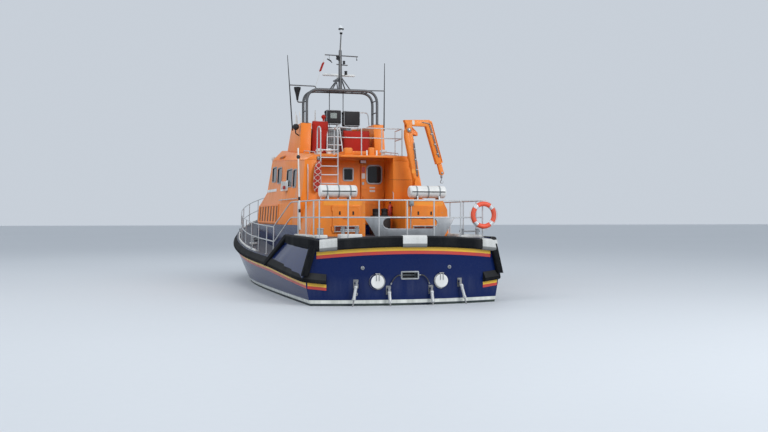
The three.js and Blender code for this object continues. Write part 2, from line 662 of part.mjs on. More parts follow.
function makeLifeRaft(side) {
  const [y0, y1] = side > 0 ? [520, 1580] : [-2080, -1000];
  const x = LOCKER_AFT + 190;
  const z = LOCKER_TOP + 240;
  const rows = [[0, 110], [25, 158], [60, 175], [(y1 - y0) / 2 - 12, 175], [(y1 - y0) / 2, 186],
    [(y1 - y0) / 2 + 12, 175], [y1 - y0 - 60, 175], [y1 - y0 - 25, 158], [y1 - y0, 110]];
  const drum = loft(rows.map(([dy, r]) => Array.from({ length: 16 }, (_, k) => {
    const a = (k * Math.PI) / 8;
    return [x + r * Math.cos(a), y0 + dy, z + r * Math.sin(a)];
  })));
  const cradle = [y0 + 200, y1 - 240].map((y) => box(x - 150, x + 150, y, y + 40, LOCKER_TOP + GAP,
    z - 110));
  return join(drum, ...cradle);
}

// Rails
function postsAndRails(feet, tops, heights, radius) {
  const posts = feet.map((f, i) => bar([f, tops[i]], radius, 4));
  const rails = heights.map((h) => bar(feet.map((f, i) => between(f, tops[i], h)), radius * 0.9, 4));
  return join(...posts, ...rails);
}

function makeGuardrail(side) {
  const xs = [-4300, -3300, -2000, -700, 600, 1900, 3200, 4400, 5500, 6500, 7300];
  const feet = xs.map((x) => [x, side * (skinY(x) - 150), deckZ(x) + 2]);
  const tops = feet.map(([x, y, z]) => [x, y - side * 20, z + 840]);
  const bases = feet.map(([x, y, z]) => box(x - 50, x + 50, y - 50, y + 50, z, z + 18));
  const rail = join(postsAndRails(feet.map(([x, y, z]) => [x, y, z + 5]), tops, [0.5, 0.99], 17), ...bases);
  return cut(rail, hullForm(GAP));
}

// Stern rail: side posts x, y
const RAIL_SIDE = [[-5940, 2190], [-7000, 2190], [-7950, 2190], [-8480, 2160]];
const RAIL_AFT = [1480, 720, 0, -720, -1480];
const RAIL_TOP = 2600;
const RAIL_MID = 2170;

function makeSternRail() {
  const aft = RAIL_AFT.map((y) => [sternX(y) + 230, y]);
  const all = [...RAIL_SIDE, ...aft, ...RAIL_SIDE.slice().reverse().map(([x, y]) => [x, -y])];
  const posts = all.map(([x, y]) => bar([[x, y, QUARTER_TOP - 8], [x, y, RAIL_TOP]], 18, 4));
  // each level runs on past the posts and down to the aft post of the guardrail: height, end height
  const levels = [[RAIL_TOP, 1930], [RAIL_MID, 1480]].map(([z, low]) => {
    const ends = [1, -1].map((s) => [[-4330, s * 2570, low], [-4920, s * 2200, z]]);
    return bar([...ends[0], ...all.map(([x, y]) => [x, y, z]), ...ends[1].reverse()], 16, 4);
  });
  const bases = all.map(([x, y]) => box(x - 45, x + 45, y - 42, y + 42, QUARTER_TOP, QUARTER_TOP + 16));
  const holders = [1992, 2468].map((z) => box(BUOY[0] + 60, -8470, -2175, -2145, z - 12, z + 12));
  return cut(join(...posts, ...levels, ...bases, ...holders), hullForm(GAP), lifebuoyForm());
}

function makeRoofLadder() {
  const x = HOUSE_AFT - 60;
  const strings = [740, 1250].map((y) => bar(rounded([[x, y, LOCKER_TOP + 8], [x, y, 4780],
    [x + 420, y, 4820], [x + 480, y, 3950]], 160, 3), 20, 6));
  const treads = [2900, 3150, 3400, 3650, 3900, 4120].map((z) => box(x - 55, x + 20, 745, 1245,
    z - 14, z + 14));
  const feet = [740, 1250].map((y) => box(x - 50, x + 40, y - 40, y + 40, LOCKER_TOP + GAP,
    LOCKER_TOP + 14));
  const rx = -4380;
  const rail = [0, -620, -1240].map((y) => bar([[rx, y, 3950], [rx, y, 4790]], 17, 6));
  const runs = [4790, 4500].map((z) => bar([[x + 20, 740, z], [rx, 560, z], [rx, -1240, z],
    [rx + 900, -1300, z]], 17, 6));
  const end = bar([[rx + 900, -1300, 3900], [rx + 900, -1300, 4790]], 17, 6);
  const all = join(...strings, ...treads, ...feet, ...rail, ...runs, end);
  return cut(all, houseForm(-GAP, HOUSE_AFT - GAP, TRUNK_TOP));
}

function makeTowFrame() {
  const x = -8150;
  const y = -300;
  const ring = (w, h, zc, n = 6) => {
    const out = [];
    for (const [s, a0] of [[1, -Math.PI / 2], [-1, Math.PI / 2]]) {
      for (let k = 0; k <= n; k++) {
        const a = a0 + (k * Math.PI) / n;
        out.push([y + s * (w / 2 - h / 2) + (h / 2) * Math.cos(a) * 1, zc + (h / 2) * Math.sin(a)]);
      }
    }
    return out;
  };
  const foot = QUARTER_TOP + GAP;
  const outline = [[y - 1230, 2180], [y - 900, foot], [y + 900, foot], [y + 1230, 2180]];
  const plate = cut(alongX(outline, x - 12, x + 12), alongX(ring(1500, 270, 2020), x - 50, x + 50));
  const rim = bar(ring(1500, 290, 2020).map(([a, b]) => [x, a, b]).concat([[x, ring(1500, 290, 2020)[0][0],
    ring(1500, 290, 2020)[0][1]]]).slice(0, 14), 24, 6);
  const gussets = [-840, 0, 840].map((dy) => alongY([[x, QUARTER_TOP + GAP], [x + 320, QUARTER_TOP + GAP],
    [x, 1880]], y + dy - 8, y + dy + 8));
  return join(plate, ...gussets, rim);
}

function makeLifebuoy() {
  return new THREE.TorusGeometry(290, 62, 8, 20).rotateY(Math.PI / 2).translate(...BUOY);
}

// The same ring, fuller by the gap, that its holders are cut to
function lifebuoyForm() {
  return solidOf(new THREE.TorusGeometry(290, 62 + GAP, 8, 20).rotateY(Math.PI / 2).translate(...BUOY));
}

// Flybridge
function makeCoaming() {
  const ring = (z, half, aft, front, c) => [[aft, -half, z], [front - c, -half, z], [front, -half + c, z],
    [front, half - c, z], [front - c, half, z], [aft, half, z]];
  const outer = loft([ring(3900, 1400, -2120, 900, 600), ring(COAMING_TOP, 1330, -2080, 30, 500)]);
  const inner = loft([ring(3800, 1060, -2500, 650, 420), ring(COAMING_TOP + 50, 1000, -2500, -160, 380)]);
  return cut(outer, inner, houseForm(-GAP, HOUSE_AFT, TRUNK_TOP));
}

function makeConsole() {
  const base = alongY([[-720, 4260], [-20, 4260], [-120, 4980], [-560, 5150], [-760, 5000]], -640, 640);
  const hoop = bar(rounded([[-700, -560, 5060], [-700, -560, 5600], [-700, -850, 5600], [-700, -850, 4900],
    [-700, -600, 4900]], 120, 3), 16, 6);
  return cut(join(base, hoop), houseForm(-GAP, HOUSE_AFT, TRUNK_TOP));
}

function makeSeat(y0, y1, top) {
  const profile = [[-2130, 4100], [-2160, top - 80], [-2100, top], [-1960, top], [-1900, top - 90],
    [-1880, 4780], [-1560, 4740], [-1540, 4660], [-1560, 4100]];
  return cut(alongY(profile, y0, y1), houseForm(-GAP, HOUSE_AFT, TRUNK_TOP));
}

// Mast: two hoops side by side, joined by rungs, carrying the pole, yards and aerials
function makeMast() {
  const hoops = [-2010, -1450].map((x) => bar(rounded([[x, 1140, COAMING_TOP + GAP], [x, 1140, 6190],
    [x, -1140, 6190], [x, -1140, COAMING_TOP + GAP]], 420, 5), 42, 8));
  const rungs = [-1, 1].flatMap((s) => [5350, 5620].map((z) => bar([[-2010, s * 1140, z],
    [-1450, s * 1140, z]], 18, 5)));
  const top = [900, 450, 0, -450, -900].map((y) => bar([[-2010, y, 6190], [-1450, y, 6190]], 22, 6));
  const deck = box(-2000, -1460, -260, 420, 6190, 6216);
  const pole = join(bar([[-1730, 0, 6190], [-1730, 0, 7500]], 62, 10), bar([[-1730, 0, 7480],
    [-1730, 0, 8040]], 22, 8), cylinder([-1730, 0, 8020], [-1730, 0, 8290], 62, 12));
  const yard = join(bar([[-1730, 540, 7290], [-1730, -560, 7270]], 18, 6), bar([[-1730, 210, 7010],
    [-1730, -230, 7010]], 22, 6));
  const struts = [[-2000, 330], [-2000, -260], [-1460, 330], [-1460, -260]].map(([x, y]) => bar(
    [[x, y, 6200], [-1730, 0, 6680]], 20, 6));
  const arms = join(bar([[-1730, 1025, 6085], [-1730, 1645, 6340]], 16, 5), bar([[-1730, -1025, 6085],
    [-1730, -1465, 6230]], 16, 5), bar([[-2010, 1025, 6085], [-1450, 1025, 6085]], 20, 5),
  bar([[-2010, -1025, 6085], [-1450, -1025, 6085]], 20, 5));
  const whips = join(bar([[-1730, 1540, 4900], [-1730, 1700, 7260]], 15, 5), bar([[-1730, -1450, 4960],
    [-1730, -1470, 7140]], 15, 5));
  // instrument boxes hung from the hoop: y from, y to, z from, z to, y of the hanger
  const boxes = [[-50, 420, 5160, 5590, 300], [-670, -147, 5110, 5570, -150]].map(([a, b, c, d, y]) => join(
    box(-1640, -1360, a, b, c, d), bar([[-1500, y, 6190], [-1500, y, d - 20]], 14, 6)));
  const [rx, ry] = SCANNER;
  const scannerSeat = join(box(-1730, rx + 60, -60, 60, 6590, 6625), box(rx - 60, rx + 60, ry - 60, 60,
    6590, 6625), cylinder([rx, ry, 6600], [rx, ry, 6690], 85, 12), bar([[-1460, 0, 6200],
    [-1200, 0, 6600]], 18, 5));
  return join(...hoops, ...rungs, ...top, deck, pole, yard, ...struts, arms, whips, ...boxes, scannerSeat);
}

function makeScanner() {
  const [x, y] = SCANNER;
  const antenna = alongY([[x - 50, 6760], [x - 50, 6840], [x + 50, 6840], [x + 50, 6760]], y - 540, y + 540);
  return join(antenna, cylinder([x, y, 6690.5], [x, y, 6770], 70, 12));
}

// Crane
function makeSlewColumn() {
  const [x, y] = SLEW;
  const drum = cylinder([x, y, LOCKER_TOP + 60 + GAP], [x, y, 3060], 165, 16);
  const ears = [-1, 1].map((s) => alongX([[y - 130, 2900], [y + 130, 2900], [y + 80, BOOM_PIN_Z + 80],
    [y - 60, BOOM_PIN_Z + 80]], x + s * 115 - 16, x + s * 115 + 16));
  const lugs = lugPair(LUFF.foot, x + 20);
  const pin = cylinder([x - 120, y, BOOM_PIN_Z], [x + 120, y, BOOM_PIN_Z], 30, 16);
  return join(drum, ...ears, lugs, pin);
}

function makeCraneBase() {
  const [x, y] = SLEW;
  return cylinder([x, y, LOCKER_TOP + GAP], [x, y, LOCKER_TOP + 60], 210, 16);
}

// Pins of the two rams, which lie forward of the boom: y, z
const LUFF = { foot: [-1700, 2950], head: [-1450, 3700] };
const FOLD = { foot: [-1400, 3950], head: [-1440, 4600] };

// Two lugs either side of a ram's eye, carried by a block that runs in to the crane
function lugPair([y, z], root) {
  const near = y + 75;
  const lugs = [-1, 1].map((s) => box(CRANE_RAM_X + s * 52 - 8, CRANE_RAM_X + s * 52 + 8, y - 45, near + 20,
    z - 65, z + 65));
  return join(box(root, CRANE_RAM_X + 60, near, near + 40, z - 65, z + 65), ...lugs);
}

function makeBoom() {
  const [x, y0] = SLEW;
  const side = [[y0 + 90, BOOM_PIN_Z - 60], [y0 - 90, BOOM_PIN_Z - 60], [-1350, 4560], [-1310, 4745],
    [-1190, 4790], [-1130, 4700], [-1130, 4500]];
  const pins = [[y0, BOOM_PIN_Z], [KNEE[1], KNEE[2]]];
  const holes = pins.map(([y, z]) => bore([x - 200, y, z], [x + 200, y, z], 30));
  const lugs = [LUFF.head, FOLD.foot].map((q) => lugPair(q, x + 80));
  return cut(join(alongX(side, x - 90, x + 90), ...lugs), ...holes);
}

const jibFall = new THREE.Vector3(0, -0.272, -0.962).normalize();
const alongJib = (y, z, run, across) => [y + jibFall.y * run - jibFall.z * across,
  z + jibFall.z * run + jibFall.y * across];

function makeJib() {
  const [x] = SLEW;
  const pin = cylinder([x - 110, KNEE[1], KNEE[2]], [x + 110, KNEE[1], KNEE[2]], 30, 16);
  const outline = [[-1150, 4880], [-1100, 4990], [-1850, 5010], [-1935, 4960], [-2270, 3775], [-2090, 3725],
    [-1760, 4820], [-1290, 4830]];
  const cheeks = [-1, 1].map((s) => alongX([[-1170, 4640], [-1310, 4640], [-1330, 4900], [-1150, 4900]],
    x + s * 110 - 12, x + s * 110 + 12));
  const sleeve = alongX([alongJib(-2180, 3750, 60, -56.5), alongJib(-2180, 3750, 60, 56.5),
    alongJib(-2180, 3750, -430, 56.5), alongJib(-2180, 3750, -430, -56.5)], x - 60.5, x + 60.5);
  const body = cut(alongX(outline, x - 95, x + 95), sleeve);
  // crank on the forward cheek, with an outer lug, for the folding ram
  const [hy, hz] = FOLD.head;
  const crank = alongX([[-1180, 4650], [hy - 120, hz - 45], [hy - 120, hz + 45], [-1320, 4880],
    [-1160, 4880]], x + 98, CRANE_RAM_X - 44);
  const lug = box(CRANE_RAM_X + 44, CRANE_RAM_X + 60, hy - 120, hy + 45, hz - 45, hz + 45);
  const bridge = box(x + 98, CRANE_RAM_X + 60, hy - 120, hy - 80, hz - 45, hz + 45);
  return join(body, box(x - 122, x + 122, -1310, -1150, 4860, 4900), ...cheeks, crank, lug, bridge, pin);
}

function makeExtension() {
  const [x] = SLEW;
  const slab = alongX([alongJib(-2180, 3750, 260, -56), alongJib(-2180, 3750, 260, 56),
    alongJib(-2180, 3750, -420, 56), alongJib(-2180, 3750, -420, -56)], x - 60, x + 60);
  const [y, z] = alongJib(-2180, 3750, 290, 0);
  return join(slab, cylinder([x - 66, y, z], [x + 66, y, z], 62, 12));
}

function makeCraneCylinder({ foot, head }, reach) {
  const x = CRANE_RAM_X;
  const [a, b] = [[x, ...foot], [x, ...head]];
  const body = join(cylinder([x - 43.5, ...foot], [x + 43.5, ...foot], 42, 12),
    cylinder(a, between(a, b, reach), 40, 12));
  return cut(body, bore(between(a, b, 0.075), between(a, b, reach + 0.02), 22));
}

function makeCraneRod({ foot, head }, start) {
  const x = CRANE_RAM_X;
  const [a, b] = [[x, ...foot], [x, ...head]];
  return join(cylinder([x - 43.5, ...head], [x + 43.5, ...head], 36, 12), cylinder(between(a, b, start), b,
    22, 10));
}

// Deck gear
function makeHatch() {
  const z = HATCH_Z + GAP;
  return join(box(4215, 4985, -385, 385, z, z + 45), cylinder([4205, -385, z + 20],
    [4205, 385, z + 20], 17, 8));
}

// Paint and materials: colour, roughness, metalness
const PAINT = {
  navy: [0x0a2160, 0.25, 0], orange: [0xf07a1c, 0.4, 0], rubber: [0x1c1d20, 0.75, 0],
  alloy: [0xa9aeb2, 0.4, 0.8], white: [0xe9e9e4, 0.4, 0], red: [0xb02318, 0.8, 0],
  black: [0x17181a, 0.5, 0], bronze: [0xa8824a, 0.35, 0.9], steel: [0x8d9296, 0.35, 0.9],
  lifebuoy: [0xf04a22, 0.5, 0], grey: [0x8b9196, 0.5, 0.2],
};

const boat = new THREE.Group();
boat.name = 'lifeboat';

function add(name, form, paint) {
  const [color, roughness, metalness] = PAINT[paint];
  const geometry = form.isBufferGeometry ? form : geometryOf(form);
  const mesh = new THREE.Mesh(geometry, new THREE.MeshStandardMaterial({ color, roughness, metalness }));
  mesh.name = name;
  boat.add(mesh);
}

const SIDES = [['port', 1], ['starboard', -1]];

add('hull', makeHull(), 'navy');
add('gunwale_fender', makeGunwaleFender(), 'rubber');
add('upper_fender', makeUpperFender(), 'rubber');
for (const [side, s] of SIDES) {
  add(`propeller_${side}`, makePropeller(s), 'bronze');
  add(`rudder_${side}`, makeRudder(s), 'grey');
  add(`trim_tab_${side}`, makeTrimTab(s), 'steel');
  for (const ram of RAMS) {
    add(`tab_cylinder_${ram.name}_${side}`, makeRamCylinder(s, ram), 'steel');
    add(`tab_rod_${ram.name}_${side}`, makeRamRod(s, ram), 'steel');
  }
  add(`ram_hose_${side}`, makeHose(s), 'black');
  add(`exhaust_flap_${side}`, makeFlap(s), 'white');
  add(`house_${side}`, makeSide(s), 'orange');
  add(`locker_${side}`, makeLocker(s), 'orange');
  add(`locker_door_${side}`, makeLockerDoor(s), 'orange');
  add(`life_raft_${side}`, makeLifeRaft(s), 'white');
  add(`guardrail_${side}`, makeGuardrail(s), 'alloy');
}
add('house_front', makeFront(), 'orange');
add('house_aft', makeAft(), 'orange');
add('house_roof', makeRoof(), 'orange');
add('cabin_door', makeDoor(), 'orange');
add('stern_rail', makeSternRail(), 'alloy');
add('roof_ladder', makeRoofLadder(), 'alloy');
add('tow_frame', makeTowFrame(), 'grey');
add('lifebuoy', makeLifebuoy(), 'lifebuoy');
add('flybridge_coaming', makeCoaming(), 'orange');
add('helm_console', makeConsole(), 'black');
add('seat_port', makeSeat(470, 980, 5230), 'red');
add('seat_starboard', makeSeat(-880, 0, 4960), 'red');
add('mast', makeMast(), 'alloy');
add('radar_scanner', makeScanner(), 'white');
add('crane_base', makeCraneBase(), 'orange');
add('crane_column', makeSlewColumn(), 'orange');
add('crane_boom', makeBoom(), 'orange');
add('crane_jib', makeJib(), 'orange');
add('crane_extension', makeExtension(), 'orange');
for (const [name, pins, reach, start] of [['luff', LUFF, 0.62, 0.28], ['fold', FOLD, 0.8, 0.1]]) {
  add(`crane_${name}_cylinder`, makeCraneCylinder(pins, reach), 'steel');
  add(`crane_${name}_rod`, makeCraneRod(pins, start), 'steel');
}
add('foredeck_hatch', makeHatch(), 'white');

export default boat;
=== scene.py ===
# All-weather lifeboat, dressed for rendering. Metres, +X forward, +Y port, +Z up, waterline at z = 0.
import math

import bpy
import numpy as np
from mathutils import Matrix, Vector


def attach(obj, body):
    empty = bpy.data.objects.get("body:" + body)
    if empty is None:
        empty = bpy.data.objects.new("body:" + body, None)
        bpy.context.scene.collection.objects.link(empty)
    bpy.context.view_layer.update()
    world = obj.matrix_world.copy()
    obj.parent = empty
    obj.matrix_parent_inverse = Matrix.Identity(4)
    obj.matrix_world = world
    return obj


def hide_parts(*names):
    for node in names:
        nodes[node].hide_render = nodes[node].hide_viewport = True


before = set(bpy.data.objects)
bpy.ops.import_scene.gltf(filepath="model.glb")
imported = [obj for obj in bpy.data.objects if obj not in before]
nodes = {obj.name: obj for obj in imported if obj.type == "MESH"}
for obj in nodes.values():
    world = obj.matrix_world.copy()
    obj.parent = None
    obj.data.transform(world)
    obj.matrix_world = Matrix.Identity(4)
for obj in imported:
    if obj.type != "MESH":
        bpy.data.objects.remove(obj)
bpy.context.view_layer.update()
pi = math.pi
sides = (("port", 1), ("starboard", -1))
print("stage: frame loaded")

# Camera as in the photograph: 25 m off the transom, on the port quarter, eye a little above the fender
camera = {"place": (-32.52, 7.434, 2.155), "look": (0.9608, -0.27726, 0.0), "lens": 46.6, "rise": 0.0026}


def makeCamera(c):
    data = bpy.data.cameras.new("camera")
    data.lens, data.sensor_width, data.shift_y = c["lens"], 36, c["rise"]
    data.clip_start, data.clip_end = 0.5, 400
    eye = bpy.data.objects.new("camera", data)
    bpy.context.collection.objects.link(eye)
    eye.location = c["place"]
    eye.rotation_mode = "QUATERNION"
    eye.rotation_quaternion = Vector(c["look"]).to_track_quat("-Z", "Y")
    bpy.context.scene.camera = eye


makeCamera(camera)

# Hull form, shared by many pieces
hullForm = {
    "sternX": -8.65, "bulge": 0.43, "beamAtStern": 2.45,
    # x, half breadth at the fender, fender foot height, chine half breadth, chine height
    "stations": np.array([
        [-9.3, 2.48, 0.56, 2.33, -0.33], [-8.65, 2.53, 0.58, 2.34, -0.34], [-7.0, 2.63, 0.66, 2.37, -0.37],
        [-4.65, 2.73, 0.78, 2.4, -0.4], [-2.0, 2.81, 0.86, 2.4, -0.4], [0.0, 2.83, 0.95, 2.35, -0.36],
        [2.0, 2.76, 1.12, 2.2, -0.25], [3.5, 2.57, 1.29, 1.95, -0.1], [4.5, 2.34, 1.43, 1.68, 0.06],
        [5.5, 1.99, 1.59, 1.32, 0.28], [6.4, 1.56, 1.74, 0.93, 0.56], [7.1, 1.12, 1.87, 0.6, 0.85],
        [7.6, 0.72, 1.96, 0.35, 1.12], [7.9, 0.42, 2.02, 0.19, 1.35], [8.08, 0.16, 2.06, 0.08, 1.6]]),
}


# Smooth value between the rows: cubic through each pair, its end slopes taken from the rows beyond
def stationAt(x):
    t = hullForm["stations"]
    x = np.atleast_1d(np.asarray(x, float))
    i = np.clip(np.searchsorted(t[:, 0], x, side="right") - 1, 0, len(t) - 2)
    last = len(t) - 1

    def slope(k):
        a, b = t[np.maximum(k - 1, 0)], t[np.minimum(k + 1, last)]
        return (b - a) / (b[:, :1] - a[:, :1])
    p, q = t[i], t[i + 1]
    h = (q[:, 0] - p[:, 0])[:, None]
    s = (x[:, None] - p[:, :1]) / h
    start, end = (2 * s**3 - 3 * s**2 + 1) * p, (3 * s**2 - 2 * s**3) * q
    leave, arrive = (s**3 - 2 * s**2 + s) * slope(i) * h, (s**3 - s**2) * slope(i + 1) * h
    return start + leave + end + arrive


# Half breadth at the fender, height of the fender's foot, and the deck a fender's height above it
def skinY(x):
    return stationAt(x)[:, 1]


def footZ(x):
    return stationAt(x)[:, 2]


def deckZ(x):
    return footZ(x) + 0.27


def deckHeight(x):
    return float(deckZ(x)[0])


# Stern arc in plan: a parabola, deepest on the centreline
def sternX(y):
    share = np.asarray(y, float) / hullForm["beamAtStern"]
    return hullForm["sternX"] - hullForm["bulge"] * (1 - share**2)


# Shapes are (points, quads, loose faces). Several shapes join into one piece.
def grid(points, closeU=False, closeV=False, capU=False):
    nu, nv = points.shape[:2]
    iu, iv = np.arange(nu if closeU else nu - 1), np.arange(nv if closeV else nv - 1)
    a = (iu[:, None] * nv + iv[None, :])
    b = (((iu[:, None] + 1) % nu) * nv + iv[None, :])
    c = (((iu[:, None] + 1) % nu) * nv + (iv[None, :] + 1) % nv)
    d = (iu[:, None] * nv + (iv[None, :] + 1) % nv)
    quads = stacked(a, b, c, d).reshape(-1, 4)
    loose = []
    if capU:
        loose = [np.arange(nv), np.arange(nv)[::-1] + (nu - 1) * nv]
    return points.reshape(-1, 3), quads, loose


# Values side by side as the last axis: points from their coordinates
def stacked(*values):
    return np.stack(values, -1)


# Direction: a vector over its length
def unit(v):
    return v / np.maximum(np.linalg.norm(v, axis=-1, keepdims=True), 1e-12)


# Profile carried along a path: point = path + across * u + lift * v, across and lift square to the path.
# Profile points run anticlockwise seen against the path, so the faces point outwards.
def sweep(path, profile, lift=None, close=False, cap=True, scale=None):
    path = np.asarray(path, float)
    step = np.roll(path, -1, 0) - path
    if close:
        along = unit(unit(step) + unit(np.roll(step, 1, 0)))
    else:
        step = step[:-1]
        first, last = step[:1], step[-1:]
        along = unit(np.concatenate([first, unit(step[:-1]) + unit(step[1:]), last]))
    if lift is None:
        lift = np.linalg.svd(path - path.mean(0) + 1e-9 * np.arange(len(path))[:, None])[2][-1]
        if abs(unit(path[-1] - path[0]) @ lift) > 0.9:
            lift = np.array([0.3, 0.9, 0.31])
    lift = np.broadcast_to(np.asarray(lift, float), path.shape)
    across = unit(np.cross(along, lift))
    up = np.cross(across, along)
    profile = np.asarray(profile, float)
    if scale is None:
        scale = np.ones(len(path))
    p = profile[None] * np.asarray(scale, float)[:, None, None]
    pts = path[:, None] + across[:, None] * p[..., :1] + up[:, None] * p[..., 1:]
    return grid(pts, closeU=close, closeV=True, capU=cap and not close)


# Ring of points: radius times cosine and sine of even angles
def ringOf(radius, count=12, squash=1.0):
    a = np.arange(count) * 2 * pi / count
    return stacked(radius * np.cos(a), radius * squash * np.sin(a))


def tube(path, radius, count=12, close=False, scale=None):
    return sweep(path, ringOf(radius, count), close=close, scale=scale)


# Path with its corners turned on an arc: between the tangent points a quadratic curve through the corner
def roundPath(points, radius, steps=8):
    p = np.asarray(points, float)
    t = np.linspace(0, 1, steps)[:, None]
    rows = [p[:1]]
    for a, b, c in zip(p[:-2], p[1:-1], p[2:]):
        la, lc = np.linalg.norm(a - b), np.linalg.norm(c - b)
        r = min(radius, la * 0.49, lc * 0.49)
        s, e = b + (a - b) / la * r, b + (c - b) / lc * r
        rows.append((1 - t) ** 2 * s + 2 * t * (1 - t) * b + t**2 * e)
    return np.concatenate([*rows, p[-1:]])


# Tube along a path whose corners are turned
def pipe(points, bend, radius, count=12, steps=8):
    return tube(roundPath(points, bend, steps), radius, count)


# Rounded box: the corner point of an inner box plus a radius along the direction of a sphere,
# both angles stepping a quarter turn at each corner
def roundBox(low, high, radius=0.01, steps=3):
    low, high = np.minimum(low, high).astype(float), np.maximum(low, high).astype(float)
    r = min(radius, *(0.499 * (high - low)))
    u = np.concatenate([np.linspace(k, k + 1, steps + 1) for k in range(4)]) * pi / 2
    su = np.concatenate([np.full(steps + 1, s) for s in (1, -1, -1, 1)])
    tu = np.concatenate([np.full(steps + 1, s) for s in (1, 1, -1, -1)])
    v = np.concatenate([np.linspace(-1, 0, steps + 1), np.linspace(0, 1, steps + 1)]) * pi / 2
    sv = np.concatenate([np.full(steps + 1, -1), np.full(steps + 1, 1)])
    half, mid = (high - low) / 2 - r, (high + low) / 2
    # Directions on the sphere, and the corner that each belongs to
    rise, around = np.meshgrid(v, u, indexing="ij")
    d = stacked(np.cos(rise) * np.cos(around), np.cos(rise) * np.sin(around), np.sin(rise))
    s = stacked(np.broadcast_to(su, around.shape), np.broadcast_to(tu, around.shape),
        np.broadcast_to(sv[:, None], around.shape))
    pts = mid + s * half + d * r
    points, quads = grid(pts, closeV=True)[:2]
    n = pts.shape[1]
    return points, quads[:, ::-1], [np.arange(n)[::-1], np.arange(n) + (pts.shape[0] - 1) * n]


# Round body: radius given along an axis from a to b, with closed ends
def turned(a, b, rows, count=24):
    a, b = np.asarray(a, float), np.asarray(b, float)
    rows = np.asarray(rows, float)
    axis = unit(b - a)
    side = unit(np.cross(axis, [0.31, 0.22, 0.92]))
    other = np.cross(axis, side)
    ang = np.arange(count) * 2 * pi / count
    spoke = side[None] * np.cos(ang)[:, None] + other[None] * np.sin(ang)[:, None]
    pts = (a + (b - a) * rows[:, :1])[:, None] + spoke[None] * rows[:, 1][:, None, None]
    points, quads, loose = grid(pts, closeV=True, capU=True)
    return points, quads[:, ::-1], [f[::-1] for f in loose]


# Flat outline given thickness along an axis, edges softened by a small inset at both faces
def slab(outline, axis, low, high, soft=0.004):
    o = np.asarray(outline, float)
    if 0.5 * np.sum(o[:, 0] * np.roll(o[:, 1], -1) - o[:, 1] * np.roll(o[:, 0], -1)) < 0:
        o = o[::-1]
    e = unit(np.roll(o, -1, 0) - o)
    nrm = stacked(e[:, 1], -e[:, 0])
    m = unit(nrm + np.roll(nrm, 1, 0))
    inner = o - m * soft / np.maximum(np.sum(m * nrm, -1, keepdims=True), 0.4)
    low, high = min(low, high), max(low, high)
    rings = [(inner, low), (o, low + soft), (o, high - soft), (inner, high)]
    order = {"x": (2, 0, 1), "y": (1, 2, 0), "z": (0, 1, 2)}[axis]
    pts = np.stack([np.concatenate([q, np.full((len(q), 1), h)], -1)[:, order] for q, h in rings])
    points, quads, loose = grid(pts, closeV=True, capU=True)
    return points, quads[:, ::-1], [f[::-1] for f in loose]


# Rounded rectangle: at each corner a quarter circle about the corner's own centre
def roundRect(w, h, r, steps=6, centre=(0, 0)):
    a = np.concatenate([np.linspace(k, k + 1, steps) for k in range(4)]) * pi / 2
    sx = np.repeat([1, -1, -1, 1], steps)
    sy = np.repeat([1, 1, -1, -1], steps)
    return stacked(centre[0] + sx * (w / 2 - r) + r * np.cos(a),
        centre[1] + sy * (h / 2 - r) + r * np.sin(a))


def mirrored(shape):
    return shape[0] * [1, -1, 1], shape[1][:, ::-1], [f[::-1] for f in shape[2]]


# Section carried along a line: point = line + out * d + up * z, with a height factor for each point
def strip(line, out, section, up=(0, 0, 1), high=1.0):
    line, out = np.asarray(line, float), unit(np.asarray(out, float))
    p = np.asarray(section, float)[None] * np.ones((len(line), 1, 1))
    up = np.broadcast_to(np.asarray(up, float), line.shape)
    rise = p[..., 1:] * np.reshape(np.broadcast_to(high, len(line)), (-1, 1, 1))
    return grid(line[:, None] + out[:, None] * p[..., :1] + up[:, None] * rise, closeV=True, capU=True)


# Outward direction in plan, square to a line that runs with the boat on its right hand
def planNormal(line):
    t = np.gradient(np.asarray(line, float), axis=0)
    return unit(stacked(-t[:, 1], t[:, 0], 0 * t[:, 0]))


# Corners of a closed outline turned on arcs: between the tangent points a quadratic curve through the corner
def softPoly(points, radius, steps=4):
    p = np.asarray(points, float)
    a, c = np.roll(p, 1, 0) - p, np.roll(p, -1, 0) - p
    la, lc = np.linalg.norm(a, axis=1), np.linalg.norm(c, axis=1)
    r = np.minimum(radius, 0.45 * np.minimum(la, lc))
    start, end = p + a * (r / la)[:, None], p + c * (r / lc)[:, None]
    t = np.linspace(0, 1, steps)[None, :, None]
    rows = (1 - t) ** 2 * start[:, None] + 2 * t * (1 - t) * p[:, None] + t**2 * end[:, None]
    return rows.reshape(-1, 2)


# Outline drawn in by a distance along its corner normals
def insetOutline(outline, by):
    o = np.asarray(outline, float)
    area = np.sum(o[:, 0] * np.roll(o[:, 1], -1) - o[:, 1] * np.roll(o[:, 0], -1))
    e = unit(np.roll(o, -1, 0) - o) * np.sign(area)
    n = stacked(e[:, 1], -e[:, 0])
    m = unit(n + np.roll(n, 1, 0))
    return o - m * by / np.maximum(np.sum(m * n, -1, keepdims=True), 0.4)


# Plate on a wall: the outline in the wall's own u and v, from a low to a high face, edges softened.
# A wall is a function of u, v and the distance out.
def panel(wall, outline, low, high, soft=0.004):
    o = np.asarray(outline, float)
    inner = insetOutline(o, soft)
    rings = [(inner, low), (o, low + soft), (o, high - soft), (inner, high)]
    return grid(np.stack([wall(q[:, 0], q[:, 1], h + 0 * q[:, 0]) for q, h in rings]),
        closeV=True, capU=True)


# Frame on a wall: the band between an outline and the same outline drawn in by its width
def frameOn(wall, outline, wide, low, high, soft=0.004):
    o = np.asarray(outline, float)
    rings = [(o, low), (o, high - soft), (insetOutline(o, soft), high),
        (insetOutline(o, wide - soft), high), (insetOutline(o, wide), high - soft),
        (insetOutline(o, wide), low)]
    return grid(np.stack([wall(q[:, 0], q[:, 1], h + 0 * q[:, 0]) for q, h in rings]),
        closeU=True, closeV=True)


